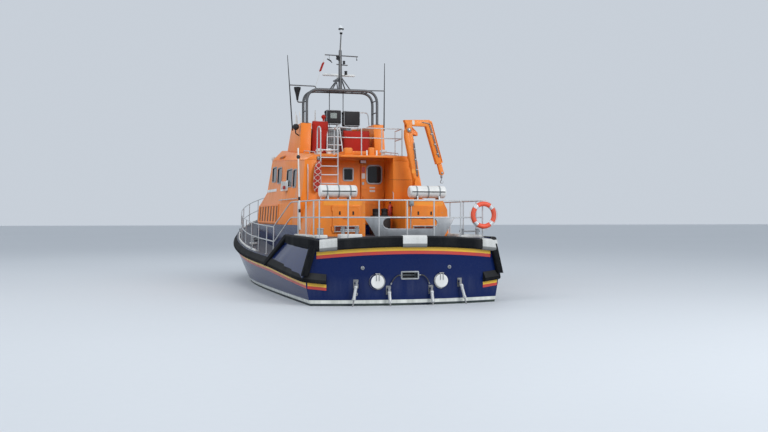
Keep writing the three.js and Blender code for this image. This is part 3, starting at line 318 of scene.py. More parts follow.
def rect(u0, u1, v0, v1, r=0.01):
    return roundRect(abs(u1 - u0), abs(v1 - v0), r, 5, ((u0 + u1) / 2, (v0 + v1) / 2))


# Bumper section: flat back, outer corners on quarter circles
def bumperSection(deep, high, r, steps=6):
    a = np.linspace(-pi / 2, 0, steps)
    low = stacked(deep - r + r * np.cos(a), r + r * np.sin(a))
    return np.concatenate([[[-0.012, 0]], low, low[::-1] * [1, -1] + [0, high], [[-0.012, high]]])


# Faces of a closed shape turned outwards: the signed volume under its faces is made positive
def outward(shape):
    p, q, loose = shape
    at = p - p.mean(0)
    a, b, c, d = (at[q[:, k]] for k in range(4))
    volume = np.sum(a * np.cross(b, c)) + np.sum(a * np.cross(c, d))
    for f in loose:
        v = at[np.asarray(f)]
        volume += np.sum(v[0] * np.cross(v[1:-1], v[2:]))
    if volume < 0:
        q, loose = q[:, ::-1], [f[::-1] for f in loose]
    return p, q, loose


# One mesh object from several shapes. A slot name is worked out from its finish unless another is named, an
# empty one meaning none, but nothing keeps it.
def piece(name, shapes, material, body="boat", stands=(), slot=None, sharp=35, thick=None):
    points, faces, base = [], [], 0
    for p, quads, loose in map(outward, shapes):
        points.append(p)
        faces.extend((quads + base).tolist())
        faces.extend([(np.asarray(f) + base).tolist() for f in loose])
        base += len(p)
    mesh = bpy.data.meshes.new(name)
    mesh.from_pydata(np.concatenate(points).tolist(), [], faces)
    mesh.polygons.foreach_set("use_smooth", np.ones(len(faces), bool))
    mesh.update()
    mesh.set_sharp_from_angle(angle=math.radians(sharp))
    mesh.materials.append(material)
    o = bpy.data.objects.new(name, mesh)
    bpy.context.collection.objects.link(o)
    if thick:
        wall = o.modifiers.new("wall", "SOLIDIFY")
        wall.thickness, wall.offset = thick, 0
    if stands:
        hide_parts(*stands)
    slot = slots.get(material.name, "") if slot is None else slot
    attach(o, body)
    return o


print("stage: shape helpers ready")


# Finishes. Shared groups give masks and normals; each material keeps its own shader and values.
def newGroup(name, inputs, outputs):
    g = bpy.data.node_groups.new(name, "ShaderNodeTree")
    for label, value in inputs.items():
        g.interface.new_socket(label, in_out="INPUT", socket_type="NodeSocketFloat").default_value = value
    for label, kind in outputs.items():
        g.interface.new_socket(label, in_out="OUTPUT", socket_type=f"NodeSocket{kind}")
    return g, g.nodes.new("NodeGroupInput").outputs, g.nodes.new("NodeGroupOutput").inputs


# One node: its settings, then each input set to a value or joined to another node's output
def nodeOf(tree, kind, inputs=None, **settings):
    n = tree.nodes.new(f"ShaderNode{kind}")
    for label, value in settings.items():
        setattr(n, label, value)
    for label, value in (inputs or {}).items():
        if hasattr(value, "is_output"):
            tree.links.new(value, n.inputs[label])
        else:
            n.inputs[label].default_value = value
    return n.outputs


# One sum or product of values or outputs
def maths(tree, kind, *values):
    return nodeOf(tree, "Math", dict(enumerate(values)), operation=kind)[0]


# Value carried from one range to another: value, from low, from high, to low, to high
def spread(tree, *values):
    return nodeOf(tree, "MapRange", dict(enumerate(values)))[0]


# Colour between a and b by the share that the mask gives
def blendColour(tree, mask, a, b):
    a, b = ((*v, 1) if isinstance(v, tuple) else v for v in (a, b))
    return nodeOf(tree, "Mix", {0: mask, 6: a, 7: b}, data_type="RGBA")[2]


def placeOn(tree):
    return nodeOf(tree, "TexCoord")["Object"]


# Soft patches stretched upright: noise of the place, times a scale, times a share of the height
def makePatchGroup():
    g, i, o = newGroup("softPatches", {"Scale": 1.0, "Upright": 1.0, "Contrast": 0.2}, {"Mask": "Float"})
    size = nodeOf(g, "CombineXYZ", {0: i["Scale"], 1: i["Scale"], 2: maths(g, "MULTIPLY",
        i["Scale"], i["Upright"])})
    place = nodeOf(g, "VectorMath", {0: placeOn(g), 1: size[0]}, operation="MULTIPLY")
    noise = nodeOf(g, "TexNoise", {"Vector": place[0], "Scale": 1.0, "Detail": 5.0})
    low = maths(g, "SUBTRACT", 0.5, i["Contrast"])
    high = maths(g, "ADD", 0.5, i["Contrast"])
    g.links.new(spread(g, noise[0], low, high), o["Mask"])
    return g


# Fine grain as a bumped normal, from noise of the place
def makeGrainGroup():
    g, i, o = newGroup("fineGrain", {"Scale": 300.0, "Strength": 0.1, "Depth": 0.002}, {"Normal": "Vector"})
    noise = nodeOf(g, "TexNoise", {"Vector": placeOn(g), "Scale": i["Scale"], "Detail": 3.0})
    bump = nodeOf(g, "Bump", {"Height": noise[0], "Strength": i["Strength"], "Distance": i["Depth"]})
    g.links.new(bump[0], o["Normal"])
    return g


# Height band of the place: one between low and high, with a soft edge
def makeBandGroup():
    g, i, o = newGroup("heightBand", {"Low": 0.0, "High": 1.0, "Soft": 0.004}, {"Mask": "Float"})
    z = nodeOf(g, "SeparateXYZ", {0: placeOn(g)})[2]
    up = spread(g, z, i["Low"], maths(g, "ADD", i["Low"], i["Soft"]))
    down = spread(g, z, maths(g, "SUBTRACT", i["High"], i["Soft"]), i["High"], 1.0, 0.0)
    g.links.new(maths(g, "MULTIPLY", up, down), o["Mask"])
    return g


# Surfaces that face up hold dust and tread, and on the fender a painted sky-lit tone: one where the normal's
# height is over a limit
def makeLevelGroup():
    g, i, o = newGroup("levelFaces", {"Limit": 0.7}, {"Mask": "Float"})
    z = nodeOf(g, "SeparateXYZ", {0: nodeOf(g, "NewGeometry")["True Normal"]})[2]
    g.links.new(spread(g, z, i["Limit"], maths(g, "ADD", i["Limit"], 0.08)), o["Mask"])
    return g


# Woven cloth: the product of two wave trains of the place, along X and along Z
def makeWeaveGroup():
    g, i, o = newGroup("clothWeave", {"Scale": 400.0, "Strength": 0.4},
        {"Normal": "Vector", "Mask": "Float"})
    inputs = {"Vector": placeOn(g), "Scale": i["Scale"], "Distortion": 0.6}
    weave = maths(g, "MULTIPLY", *[nodeOf(g, "TexWave", inputs, bands_direction=d)[1] for d in "XZ"])
    bump = nodeOf(g, "Bump", {"Height": weave, "Strength": i["Strength"], "Distance": 0.001})
    g.links.new(bump[0], o["Normal"])
    g.links.new(weave, o["Mask"])
    return g


patchGroup, grainGroup, bandGroup = makePatchGroup(), makeGrainGroup(), makeBandGroup()
levelGroup, weaveGroup = makeLevelGroup(), makeWeaveGroup()


def useGroup(tree, group, **values):
    return nodeOf(tree, "Group", values, node_tree=group)


# Empty material with its node tree and shader
def newMaterial(name, colour):
    m = bpy.data.materials.new(name)
    m.use_nodes = True
    m.diffuse_color = (*colour, 1)
    return m, m.node_tree, m.node_tree.nodes["Principled BSDF"]


# Painted, moulded or metal finish: body colour drifting to a second one in patches, grime in upright runs
def finishOf(name, colour, second, grime=(0.12, 0.1, 0.08), amount=0.25, rough=(0.3, 0.45),
        grain=(250, 0.08), metal=0.0, coat=0.0, patch=1.4, runs=6.0, dustAndSkyLight=0.0, dustAndSkyLightFrom=0.6, weave=None,
        sheen=0.0, specular=0.5):
    m, t, s = newMaterial(name, colour)
    broad = useGroup(t, patchGroup, Scale=patch, Upright=0.6, Contrast=0.22)[0]
    streak = useGroup(t, patchGroup, Scale=runs, Upright=0.12, Contrast=0.16)[0]
    fleck = useGroup(t, patchGroup, Scale=runs * 7, Upright=1.0, Contrast=0.12)[0]
    base = blendColour(t, broad, colour, second)
    base = blendColour(t, maths(t, "MULTIPLY", maths(t, "MULTIPLY", streak, broad), amount), base, grime)
    base = blendColour(t, maths(t, "MULTIPLY", fleck, amount * 0.3), base, grime)
    # Grey on faces turned up: dust, and painted sky light on the fender's rounded top
    if dustAndSkyLight:
        level = useGroup(t, levelGroup, Limit=dustAndSkyLightFrom)[0]
        base = blendColour(t, maths(t, "MULTIPLY", level, dustAndSkyLight), base, (0.42, 0.42, 0.42))
    t.links.new(base, s.inputs["Base Color"])
    t.links.new(spread(t, maths(t, "MULTIPLY_ADD", fleck, 0.4, maths(t, "MULTIPLY", streak, 0.6)), 0.0, 1.0,
        rough[0], rough[1]), s.inputs["Roughness"])
    if weave:
        bumps = useGroup(t, weaveGroup, Scale=weave[0], Strength=weave[1])[0]
    else:
        bumps = useGroup(t, grainGroup, Scale=grain[0], Strength=grain[1], Depth=0.002)[0]
    t.links.new(bumps, s.inputs["Normal"])
    for label, value in (("Metallic", metal), ("Coat Weight", coat), ("Coat Roughness", 0.08),
            ("Sheen Weight", sheen), ("Specular IOR Level", specular)):
        s.inputs[label].default_value = value
    return m


orange = finishOf("orangePaint", (0.86, 0.215, 0.016), (0.92, 0.27, 0.026), (0.32, 0.13, 0.05), 0.3,
    (0.36, 0.5), coat=0.06, specular=0.3)
paleOrange = finishOf("paleOrangePaint", (0.92, 0.33, 0.03), (0.9, 0.3, 0.03), (0.32, 0.13, 0.05), 0.2,
    (0.36, 0.5), coat=0.05, specular=0.3)
navy = finishOf("navyPaint", (0.004, 0.016, 0.135), (0.005, 0.021, 0.165), (0.1, 0.11, 0.13), 0.15,
    (0.2, 0.34), coat=0.1, specular=0.3)
# Fender rubber: the grey on its upturned faces is dust and painted sky light
rubber = finishOf("fenderRubber", (0.004, 0.005, 0.007), (0.009, 0.01, 0.012), (0.05, 0.05, 0.05), 0.4,
    (0.75, 0.95), (180, 0.2), dustAndSkyLight=0.04, dustAndSkyLightFrom=0.38, runs=4, specular=0.05)
padRubber = finishOf("padRubber", (0.66, 0.67, 0.66), (0.58, 0.59, 0.57), (0.2, 0.2, 0.17), 0.5,
    (0.45, 0.65), (180, 0.15))


# Painted shade on the foot of the pads, where their face turns down: dark grey below a height that falls from
# the centreline with the fender's crown
def shadedPadFoot(m, high, fall, colour):
    t = m.node_tree
    s = next(n for n in t.nodes if n.type == "BSDF_PRINCIPLED")
    place = nodeOf(t, "SeparateXYZ", {0: placeOn(t)})
    rise = maths(t, "MULTIPLY_ADD", maths(t, "MULTIPLY", place[1], place[1]), fall, place[2])
    mask = spread(t, rise, high - 0.008, high + 0.008, 0.85, 0.0)
    unshadedColour = s.inputs["Base Color"].links[0].from_socket
    t.links.new(blendColour(t, mask, unshadedColour, colour), s.inputs["Base Color"])


# Painted shade: the lower part of the fender pads turns dark grey
shadedPadFoot(padRubber, 1.525, 0.0221, (0.1, 0.105, 0.105))
ventRed = finishOf("ventRed", (0.17, 0.03, 0.02), (0.12, 0.025, 0.02), (0.1, 0.08, 0.06), 0.3,
    (0.5, 0.7), specular=0.2)
yellow = finishOf("yellowStripe", (0.85, 0.52, 0.03), (0.76, 0.44, 0.03), (0.3, 0.24, 0.1),
    0.25, (0.3, 0.4))
red = finishOf("redStripe", (0.55, 0.045, 0.03), (0.48, 0.035, 0.03), (0.2, 0.1, 0.08), 0.25, (0.3, 0.4))
darkMetal = finishOf("darkMetal", (0.075, 0.08, 0.088), (0.13, 0.135, 0.145), (0.2, 0.18, 0.15), 0.3,
    (0.3, 0.5), metal=0.5, patch=2.5, runs=10)
white = finishOf("whitePaint", (0.8, 0.8, 0.78), (0.72, 0.73, 0.72), (0.3, 0.28, 0.22), 0.3, (0.3, 0.45))
rail = finishOf("railMetal", (0.6, 0.62, 0.63), (0.5, 0.52, 0.54), (0.3, 0.26, 0.2), 0.3, (0.32, 0.5),
    metal=0.55, patch=3, runs=14)
alloy = finishOf("bareAlloy", (0.42, 0.44, 0.46), (0.34, 0.36, 0.38), (0.16, 0.15, 0.14), 0.4, (0.35, 0.55),
    metal=0.7, patch=2.5, runs=10)
steel = finishOf("steel", (0.36, 0.37, 0.38), (0.28, 0.29, 0.3), (0.14, 0.1, 0.07), 0.4, (0.25, 0.45),
    metal=0.9, patch=5, runs=16)
bronze = finishOf("bronze", (0.42, 0.26, 0.1), (0.3, 0.2, 0.09), (0.08, 0.12, 0.08), 0.5, (0.28, 0.5),
    metal=0.95, patch=5)
black = finishOf("blackPlastic", (0.008, 0.008, 0.01), (0.014, 0.014, 0.017), (0.1, 0.1, 0.1), 0.3,
    (0.45, 0.65), (400, 0.12), specular=0.25)
# Glass as an opaque near-black sheet: its colour is painted shade, the dark interior behind the panes
glass = finishOf("glassPaintedShade", (0.005, 0.007, 0.01), (0.009, 0.012, 0.016), (0.08, 0.09, 0.09), 0.1,
    (0.03, 0.08), (20, 0.006), specular=0.35)
redCloth = finishOf("redCover", (0.44, 0.018, 0.01), (0.36, 0.014, 0.009), (0.2, 0.05, 0.03), 0.3,
    (0.65, 0.85), weave=(260, 0.35), sheen=0.05, specular=0.2)
buoyRed = finishOf("buoyRed", (0.85, 0.09, 0.03), (0.75, 0.08, 0.03), (0.3, 0.1, 0.06), 0.3, (0.4, 0.6))
tape = finishOf("reflectiveTape", (0.75, 0.77, 0.78), (0.6, 0.62, 0.64), (0.3, 0.3, 0.3), 0.3, (0.2, 0.35),
    metal=0.4, patch=20)
ropeRed = finishOf("ropeRed", (0.6, 0.05, 0.03), (0.5, 0.04, 0.03), (0.2, 0.1, 0.08), 0.4, (0.7, 0.9),
    weave=(500, 0.6))
ropeWhite = finishOf("ropeWhite", (0.7, 0.68, 0.62), (0.6, 0.57, 0.5), (0.3, 0.28, 0.24), 0.4, (0.7, 0.9),
    weave=(500, 0.6))
greyBox = finishOf("greyMoulding", (0.3, 0.33, 0.34), (0.24, 0.27, 0.28), (0.12, 0.12, 0.12),
    0.3, (0.4, 0.6))
lens = finishOf("lampLens", (0.75, 0.78, 0.8), (0.65, 0.68, 0.7), (0.4, 0.4, 0.4), 0.1,
    (0.05, 0.12), coat=0.6)
redLens = finishOf("redLens", (0.5, 0.02, 0.015), (0.4, 0.015, 0.01), (0.1, 0.02, 0.02), 0.1,
    (0.06, 0.14), coat=0.6)
screen = finishOf("instrumentScreen", (0.25, 0.3, 0.28), (0.18, 0.22, 0.21), (0.05, 0.05, 0.05),
    0.1, (0.1, 0.2))
hose = finishOf("hoseRubber", (0.012, 0.012, 0.013), (0.03, 0.03, 0.03), (0.1, 0.1, 0.1), 0.4, (0.5, 0.7),
    weave=(300, 0.4))


# Hull: navy sides, white line above dark antifouling, grey grip on the decks, runs of salt below the fender
def makeHullFinish(v):
    m, t, s = newMaterial("hullPaint", v["navy"])
    broad = useGroup(t, patchGroup, Scale=0.9, Upright=0.5, Contrast=0.25)[0]
    streak = useGroup(t, patchGroup, Scale=5.0, Upright=0.1, Contrast=0.14)[0]
    fleck = useGroup(t, patchGroup, Scale=60.0, Upright=1.0, Contrast=0.15)[0]
    level = useGroup(t, levelGroup, Limit=0.75)[0]
    high = useGroup(t, bandGroup, Low=0.8, High=9.0, Soft=0.01)[0]
    deck = maths(t, "MULTIPLY", level, high)
    line = useGroup(t, bandGroup, Low=v["line"][0], High=v["line"][1], Soft=0.006)[0]
    under = useGroup(t, bandGroup, Low=-9.0, High=v["line"][0], Soft=0.006)[0]
    splash = useGroup(t, bandGroup, Low=v["line"][1], High=0.75, Soft=0.5)[0]
    base = blendColour(t, broad, v["navy"], v["navySecond"])
    base = blendColour(t, maths(t, "MULTIPLY", maths(t, "MULTIPLY", streak, splash), 0.22), base, v["salt"])
    base = blendColour(t, maths(t, "MULTIPLY", fleck, 0.05), base, v["salt"])
    worn = blendColour(t, maths(t, "MULTIPLY", streak, 0.35), v["white"], v["weed"])
    base = blendColour(t, line, base, worn)
    base = blendColour(t, under, base, blendColour(t, broad, v["under"], v["weed"]))
    grip = blendColour(t, broad, v["deck"], v["deckSecond"])
    grip = blendColour(t, maths(t, "MULTIPLY", fleck, 0.3), grip, v["deckPale"])
    base = blendColour(t, deck, base, grip)
    t.links.new(base, s.inputs["Base Color"])
    gloss = spread(t, fleck, 0.0, 1.0, 0.1, 0.24)
    t.links.new(maths(t, "MULTIPLY_ADD", maths(t, "MAXIMUM", deck, under), 0.55, gloss),
        s.inputs["Roughness"])
    noise = nodeOf(t, "TexNoise", {"Vector": placeOn(t), "Scale": 240})
    bump = nodeOf(t, "Bump", {"Height": maths(t, "MULTIPLY", noise[0], deck), "Strength": 0.5,
        "Distance": 0.003})
    t.links.new(bump[0], s.inputs["Normal"])
    for label, value in (("Coat Weight", 0.12), ("Coat Roughness", 0.06), ("Specular IOR Level", 0.06)):
        s.inputs[label].default_value = value
    return m


# The record's material slot that each finish stands for, where a piece names no other
slots = {finish.name: slot for slot, finishes in {
    "alloy": (alloy, bronze, darkMetal, greyBox, rail, steel), "black_plastic": (black, glass, screen),
    "fender_rubber": (rubber, padRubber), "hose_rubber": (hose,), "lifebuoy_plastic": (buoyRed, tape),
    "orange_paint": (orange, paleOrange, ventRed), "white_plastic": (lens, white)}.items()
         for finish in finishes}

hullPaint = makeHullFinish({"navy": (0.0008, 0.0095, 0.068), "navySecond": (0.001, 0.012, 0.085),
    "salt": (0.2, 0.22, 0.26), "white": (0.72, 0.74, 0.7), "weed": (0.07, 0.09, 0.07),
    "under": (0.012, 0.014, 0.03), "deck": (0.085, 0.093, 0.115), "deckSecond": (0.11, 0.118, 0.14),
    "deckPale": (0.2, 0.2, 0.22), "line": (0.055, 0.145)})
print("stage: finishes ready")


# Solids of the frame: coplanar faces merged, edges softened, and a finish for each
def dress(name, material, edge=0.0, smooth=30):
    o = nodes[name]
    o.data.materials.clear()
    o.data.materials.append(material)
    o.data.polygons.foreach_set("material_index", np.zeros(len(o.data.polygons), np.int32))
    o.data.polygons.foreach_set("use_smooth", np.ones(len(o.data.polygons), bool))
    weld = o.modifiers.new("weld", "WELD")
    weld.merge_threshold = 0.0001
    if edge:
        flat = o.modifiers.new("flat", "DECIMATE")
        flat.decimate_type, flat.angle_limit = "DISSOLVE", math.radians(0.6)
        bevel = o.modifiers.new("edge", "BEVEL")
        bevel.width, bevel.segments, bevel.limit_method = edge, 2, "ANGLE"
        bevel.angle_limit, bevel.harden_normals = math.radians(28), True
        bevel.use_clamp_overlap = True
    else:
        split = o.modifiers.new("split", "EDGE_SPLIT")
        split.split_angle = math.radians(smooth)
    return o


framePaint = [
    (("hull",), hullPaint, 0, 32),
    (("house_port", "house_starboard", "house_front", "house_aft", "house_roof", "flybridge_coaming",
      "cabin_door", "locker_door_port", "locker_door_starboard"), orange, 0.012, 0),
    (("locker_port", "locker_starboard"), orange, 0, 20),
    (("crane_base", "crane_column", "crane_boom", "crane_jib", "crane_extension"), orange, 0.006, 0),
    (("crane_luff_cylinder", "crane_fold_cylinder", "tab_cylinder_outer_port", "tab_cylinder_outer_starboard",
      "tab_cylinder_inner_port", "tab_cylinder_inner_starboard"), steel, 0, 40),
    (("crane_luff_rod", "crane_fold_rod", "tab_rod_outer_port", "tab_rod_outer_starboard",
      "tab_rod_inner_port", "tab_rod_inner_starboard"), steel, 0, 40),
    (("propeller_port", "propeller_starboard"), bronze, 0, 40),
    (("rudder_port", "rudder_starboard", "trim_tab_port", "trim_tab_starboard"), navy, 0.004, 0),
    (("tow_frame", "roof_ladder"), alloy, 0.003, 0),
    (("exhaust_flap_port", "exhaust_flap_starboard", "foredeck_hatch"), white, 0.004, 0),
    (("ram_hose_port", "ram_hose_starboard"), hose, 0, 50),
    (("gunwale_fender", "upper_fender"), rubber, 0, 40),
    (("guardrail_port", "guardrail_starboard", "stern_rail", "mast"), rail, 0, 50),
    (("life_raft_port", "life_raft_starboard", "radar_scanner"), white, 0, 40),
    (("lifebuoy",), buoyRed, 0, 60),
    (("helm_console",), greyBox, 0.006, 0),
    (("seat_port", "seat_starboard"), redCloth, 0.02, 0),
]
for names, material, edge, smooth in framePaint:
    for name in names:
        dress(name, material, edge, smooth)
print("stage: frame dressed")

# Fenders: the low one from stub to stub round the bow, the upper one round the quarterdeck
fenders = {
    # outwards, up
    "low": {"section": [(-0.012, 0), (0.1015, 0.006), (0.1172, 0.045), (0.1085, 0.092), (0.014, 0.246),
                        (-0.012, 0.25)],
            "round": 0.02, "stub": 2.05},
    "upper": {"deep": 0.125, "high": 0.275, "round": 0.055, "crown": 1.444, "drop": 0.12, "corner": 2.33},
    "arm": {"front": -5.16, "half": 2.295, "foot": 1.405, "aftFoot": 1.385, "high": 0.29},
    "slant": {"top": (-5.1, 2.30, 1.70), "foot": (-4.385, 2.79, 0.895), "wide": 0.25,
              "lean": (-0.94, 0, -0.35)},
    "column": {"foot": 0.74, "footY": 2.535, "top": 1.5, "topY": 2.33, "wide": 0.17, "deep": 0.25},
    "pads": [(2.2, 1.79), (0.215, -0.4), (-1.95, -2.4)], "padProud": 0.014,
}


# Foot of the upper fender: highest on the centreline, falling with the square of y
def crownZ(y):
    f = fenders["upper"]
    return f["crown"] - f["drop"] * (np.asarray(y, float) / f["corner"]) ** 2


# Points on the stern arc at y and z
def arcPoint(y, z):
    y = np.asarray(y, float)
    return stacked(sternX(y), y, np.broadcast_to(z, y.shape))


def lowFenderLine():
    f = fenders["low"]
    corner = [arcPoint(f["stub"], 0.53), [sternX(2.5), 2.515, 0.575],
        [-8.2, skinY(-8.2)[0], footZ(-8.2)[0]]]
    x = np.linspace(-8.1, 8.02, 110)
    side = stacked(x, skinY(x), footZ(x))
    bow = np.array([[8.09, 0.13, 2.06], [8.105, 0.05, 2.06]])
    port = np.concatenate([roundPath(corner, 0.16, 9), side, bow])
    return np.concatenate([port, port[::-1] * [1, -1, 1]])


def upperFenderLine():
    f, a = fenders["upper"], fenders["arm"]
    x = np.linspace(a["front"], -8.4, 16)
    foot = a["foot"] + (a["aftFoot"] - a["foot"]) * (x - a["front"]) / (-8.4 - a["front"])
    arm = stacked(x, np.full_like(x, a["half"]) + 0.012 * (a["front"] - x), foot)
    high = np.full(len(x), a["high"])
    turn = roundPath([arm[-1], [sternX(2.36), 2.36, 1.39], arcPoint(2.2, crownZ(2.2))], 0.2, 9)[1:]
    y = np.linspace(2.1, 0, 30)
    line = np.concatenate([arm, turn, arcPoint(y, 0) + stacked(0 * y, 0 * y, crownZ(y))])
    return line, np.concatenate([high, np.linspace(a["high"], f["high"], len(turn)),
        np.full(len(y), f["high"])])


def makeFenders():
    low, up, sl, col = (fenders[k] for k in ("low", "upper", "slant", "column"))
    line = lowFenderLine()
    body = strip(line, planNormal(line), softPoly(low["section"], low["round"]))
    piece("lowFender", [body], rubber, stands=("gunwale_fender",), sharp=50)
    half, high = upperFenderLine()
    line = np.concatenate([half, half[-2::-1] * [1, -1, 1]])
    high = np.concatenate([high, high[-2::-1]]) / up["high"]
    band = strip(line, -planNormal(line), bumperSection(up["deep"], up["high"], up["round"]), high=high)
    shapes = [band]
    for s in (1, -1):
        side = np.array([1, s, 1])
        top, foot = np.array(sl["top"]) * side, np.array(sl["foot"]) * side
        run = top + np.linspace(0, 1, 9)[:, None] * (foot - top)
        shapes.append(strip(run, np.tile([0, s, 0], (9, 1)), bumperSection(0.125, sl["wide"],
            0.05), up=sl["lean"]))
        t = np.linspace(0, 1, 9)
        y = col["footY"] + (col["topY"] - col["footY"]) * t
        post = stacked(sternX(y), s * y, col["foot"] + (col["top"] - col["foot"]) * t)
        shapes.append(strip(post, np.tile([0, s, 0], (9, 1)), roundRect(col["wide"], col["deep"], 0.05, 5,
            (0.025, -0.005)), up=(1, 0, 0)))
    piece("upperFender", shapes, rubber, stands=("upper_fender",), sharp=50)
    proud = fenders["padProud"]
    pads = []
    for a, b in fenders["pads"]:
        y = np.linspace(a, b, 14)
        line = arcPoint(y, 0) + stacked(0 * y, 0 * y, crownZ(y) - proud)
        pads.append(strip(line, -planNormal(line), bumperSection(up["deep"] + proud, up["high"] + 2 * proud,
            up["round"] + 0.01)))
    piece("fenderPads", pads, padRubber, sharp=50)


makeFenders()

# Stripes: two thin bands, each (top, foot) below the fender's foot
stripes = {"upper": [(-0.004, -0.095), (-0.095, -0.178)], "low": [(-0.004, -0.08), (-0.08, -0.152)],
           "thick": 0.005, "reach": 2.28}


# Half breadth of the side at a height: straight lines between fender foot, mid side and chine
def sideY(x, z):
    t = stationAt(x)
    b, zf, yc, zc = t[:, 1], t[:, 2], t[:, 3], t[:, 4]
    mid, zMid = (yc + b) / 2 + 0.015, (zc + zf) / 2
    share = np.clip((z - zMid) / (zf - 0.06 - zMid), 0, 1)
    return mid + (b - mid) * share


def makeStripes():
    v = stripes
    for name, material, up, low in (("yellowStripe", yellow, v["upper"][0], v["low"][0]),
            ("redStripe", red, v["upper"][1], v["low"][1])):
        y = np.linspace(v["reach"], -v["reach"], 60)
        line = arcPoint(y, 0) + stacked(0 * y, 0 * y, crownZ(y))
        edge = [[-0.004, up[1]], [v["thick"], up[1]], [v["thick"], up[0]], [-0.004, up[0]]]
        shapes = [strip(line, -planNormal(line), edge)]
        for s in (1, -1):
            y = np.linspace(2.05, 2.49, 9)
            line = arcPoint(y, 0) + stacked(0 * y, 0 * y, 0.53 + 0.1 * (y - 2.05))
            out = planNormal(line)
            edge = [[-0.004, low[1]], [v["thick"], low[1]], [v["thick"], low[0]], [-0.004, low[0]]]
            stub = strip(line, out, edge)
            x = np.linspace(-8.62, 7.7, 90)
            z0, z1 = footZ(x) + low[0], footZ(x) + low[1]
            y0, y1 = sideY(x, z0), sideY(x, z1)
            t = v["thick"]
            pts = np.stack([stacked(x, y1 - 0.004, z1), stacked(x, y1 + t, z1), stacked(x, y0 + t, z0),
                stacked(x, y0 - 0.004, z0)], 1)
            side = grid(pts, closeV=True, capU=True)
            shapes += [stub, side] if s > 0 else [mirrored(stub), mirrored(side)]
        piece(name, shapes, material, slot="navy_paint")


makeStripes()
print("stage: fenders and stripes")

# Rails: posts in bases, a top rail and a middle rail
guardRail = {"x": [-4.3, -3.3, -2.0, -0.7, 0.6, 1.9, 3.2, 4.4, 5.5, 6.5, 7.3], "inset": 0.15, "high": 0.84,
             "lean": 0.02, "levels": (0.5, 0.99), "radius": 0.017, "base": 0.05}
sternRail = {
    "side": [(-5.94, 2.19), (-7.0, 2.19), (-7.95, 2.19), (-8.48, 2.16)],
    "aft": [1.48, 0.72, 0.0, -0.72, -1.48], "offStern": 0.23, "deck": 1.65, "top": 2.6,
    "radius": 0.018, "fore": (-4.92, 2.2), "feet": [(2.6, (-4.33, 2.57, 1.93)), (2.17, (-4.33, 2.57, 1.48))],
    "holders": [1.992, 2.468], "plinths": [(-5.75, -7.3, 2.08, 2.27), (-7.75, -8.2, 2.08, 2.27)]}


# Round foot of a post
def flange(at, radius):
    return turned(at, np.array(at) + [0, 0, 0.016], [[0, radius], [0.8, radius], [1, radius * 0.8]], 16)


def makeGuardrail(side, s):
    v = guardRail
    x = np.array(v["x"])
    feet = stacked(x, s * (skinY(x) - v["inset"]), deckZ(x))
    tops = feet + [0, -s * v["lean"], v["high"]]
    shapes = [tube([f, t], v["radius"]) for f, t in zip(feet, tops)]
    shapes += [flange(f, v["base"]) for f in feet]
    xs = np.linspace(x[0], x[-1], 60)
    for level in v["levels"]:
        y = skinY(xs) - v["inset"] - v["lean"] * level
        shapes.append(tube(stacked(xs, s * y, deckZ(xs) + v["high"] * level), v["radius"] * 0.9))
    piece(f"guardrail.{side}", shapes, rail, stands=(f"guardrail_{side}",))


def makeSternRail():
    v = sternRail
    r = v["radius"]
    aft = [(sternX(y) + v["offStern"], y) for y in v["aft"]]
    posts = v["side"] + aft + [(x, -y) for x, y in v["side"]]
    shapes = []
    for x, y in posts:
        shapes += [tube([[x, y, v["deck"]], [x, y, v["top"]]], r), flange((x, y, v["deck"]), 0.048)]
    ring = [v["fore"]] + v["side"] + aft[:2]
    ring = np.array([(*p, 0) for p in ring] + [(*aft[2], 0)] + [(x, -y, 0) for x, y in ring[::-1]])
    for z, foot in v["feet"]:
        line = np.concatenate([[foot], ring + [0, 0, z], [np.array(foot) * [1, -1, 1]]])
        shapes.append(pipe(line, 0.16, r * 0.95))
    for z in v["holders"]:
        shapes.append(tube([[-8.48, -2.16, z], [-8.545, -2.16, z]], 0.011))
    piece("sternRail", shapes, rail, stands=("stern_rail",))
    plinths = [roundBox((a, s * y0, v["deck"] - 0.01), (b, s * y1, v["deck"] + 0.07), 0.02)
        for a, b, y0, y1 in v["plinths"] for s in (1, -1)]
    piece("railPlinths", plinths, padRubber, slot="alloy")


for side, s in sides:
    makeGuardrail(side, s)
makeSternRail()

# Mast: two hoops side by side with rungs, the pole, yards, aerials and the scanner's seat
mast = {
    "hoopX": (-2.01, -1.45), "half": 1.14, "foot": 5.12, "top": 6.19, "bend": 0.42, "radius": 0.042,
    "rungs": (5.52, 5.9), "bars": (0.9, 0.45, 0, -0.45, -0.9), "plate": (-0.26, 0.42), "poleX": -1.73,
    "poleTop": 7.5, "stalkTop": 8.05, "lampY": -0.03, "lampTop": 8.285, "scanner": (-1.03, -0.12),
    "yard": (0.5, -0.58, 7.32), "tee": (0.12, -0.24, 7.03), "stayFoot": (0.33, -0.26), "stayTop": 6.68,
    # side, reach and height of the arms; y and foot of the hangers
    "arms": ((1, 1.645, 6.33), (-1, 1.465, 6.25)), "hangers": ((0.30, 5.58), (-0.15, 5.56)),
    # y, z and radius of the lamps round the pole
    "lamps": ((0.1, 7.24, 0.05), (-0.11, 7.1, 0.042), (-0.17, 6.77, 0.05), (-0.53, 7.2, 0.018)),
    # y and z of the whips from foot to tip
    "whips": [[(1.54, 4.9), (1.62, 6.1), (1.70, 7.26)], [(-1.45, 4.96), (-1.46, 6.0), (-1.47, 7.14)]],
    "horn": (1.385, 5.86, 6.27), "searchLight": (-1.98, 1.47, 5.0),
    "halyard": [(0.49, 7.31), (0.6, 6.96), (0.7, 6.62), (0.8, 6.32)]}


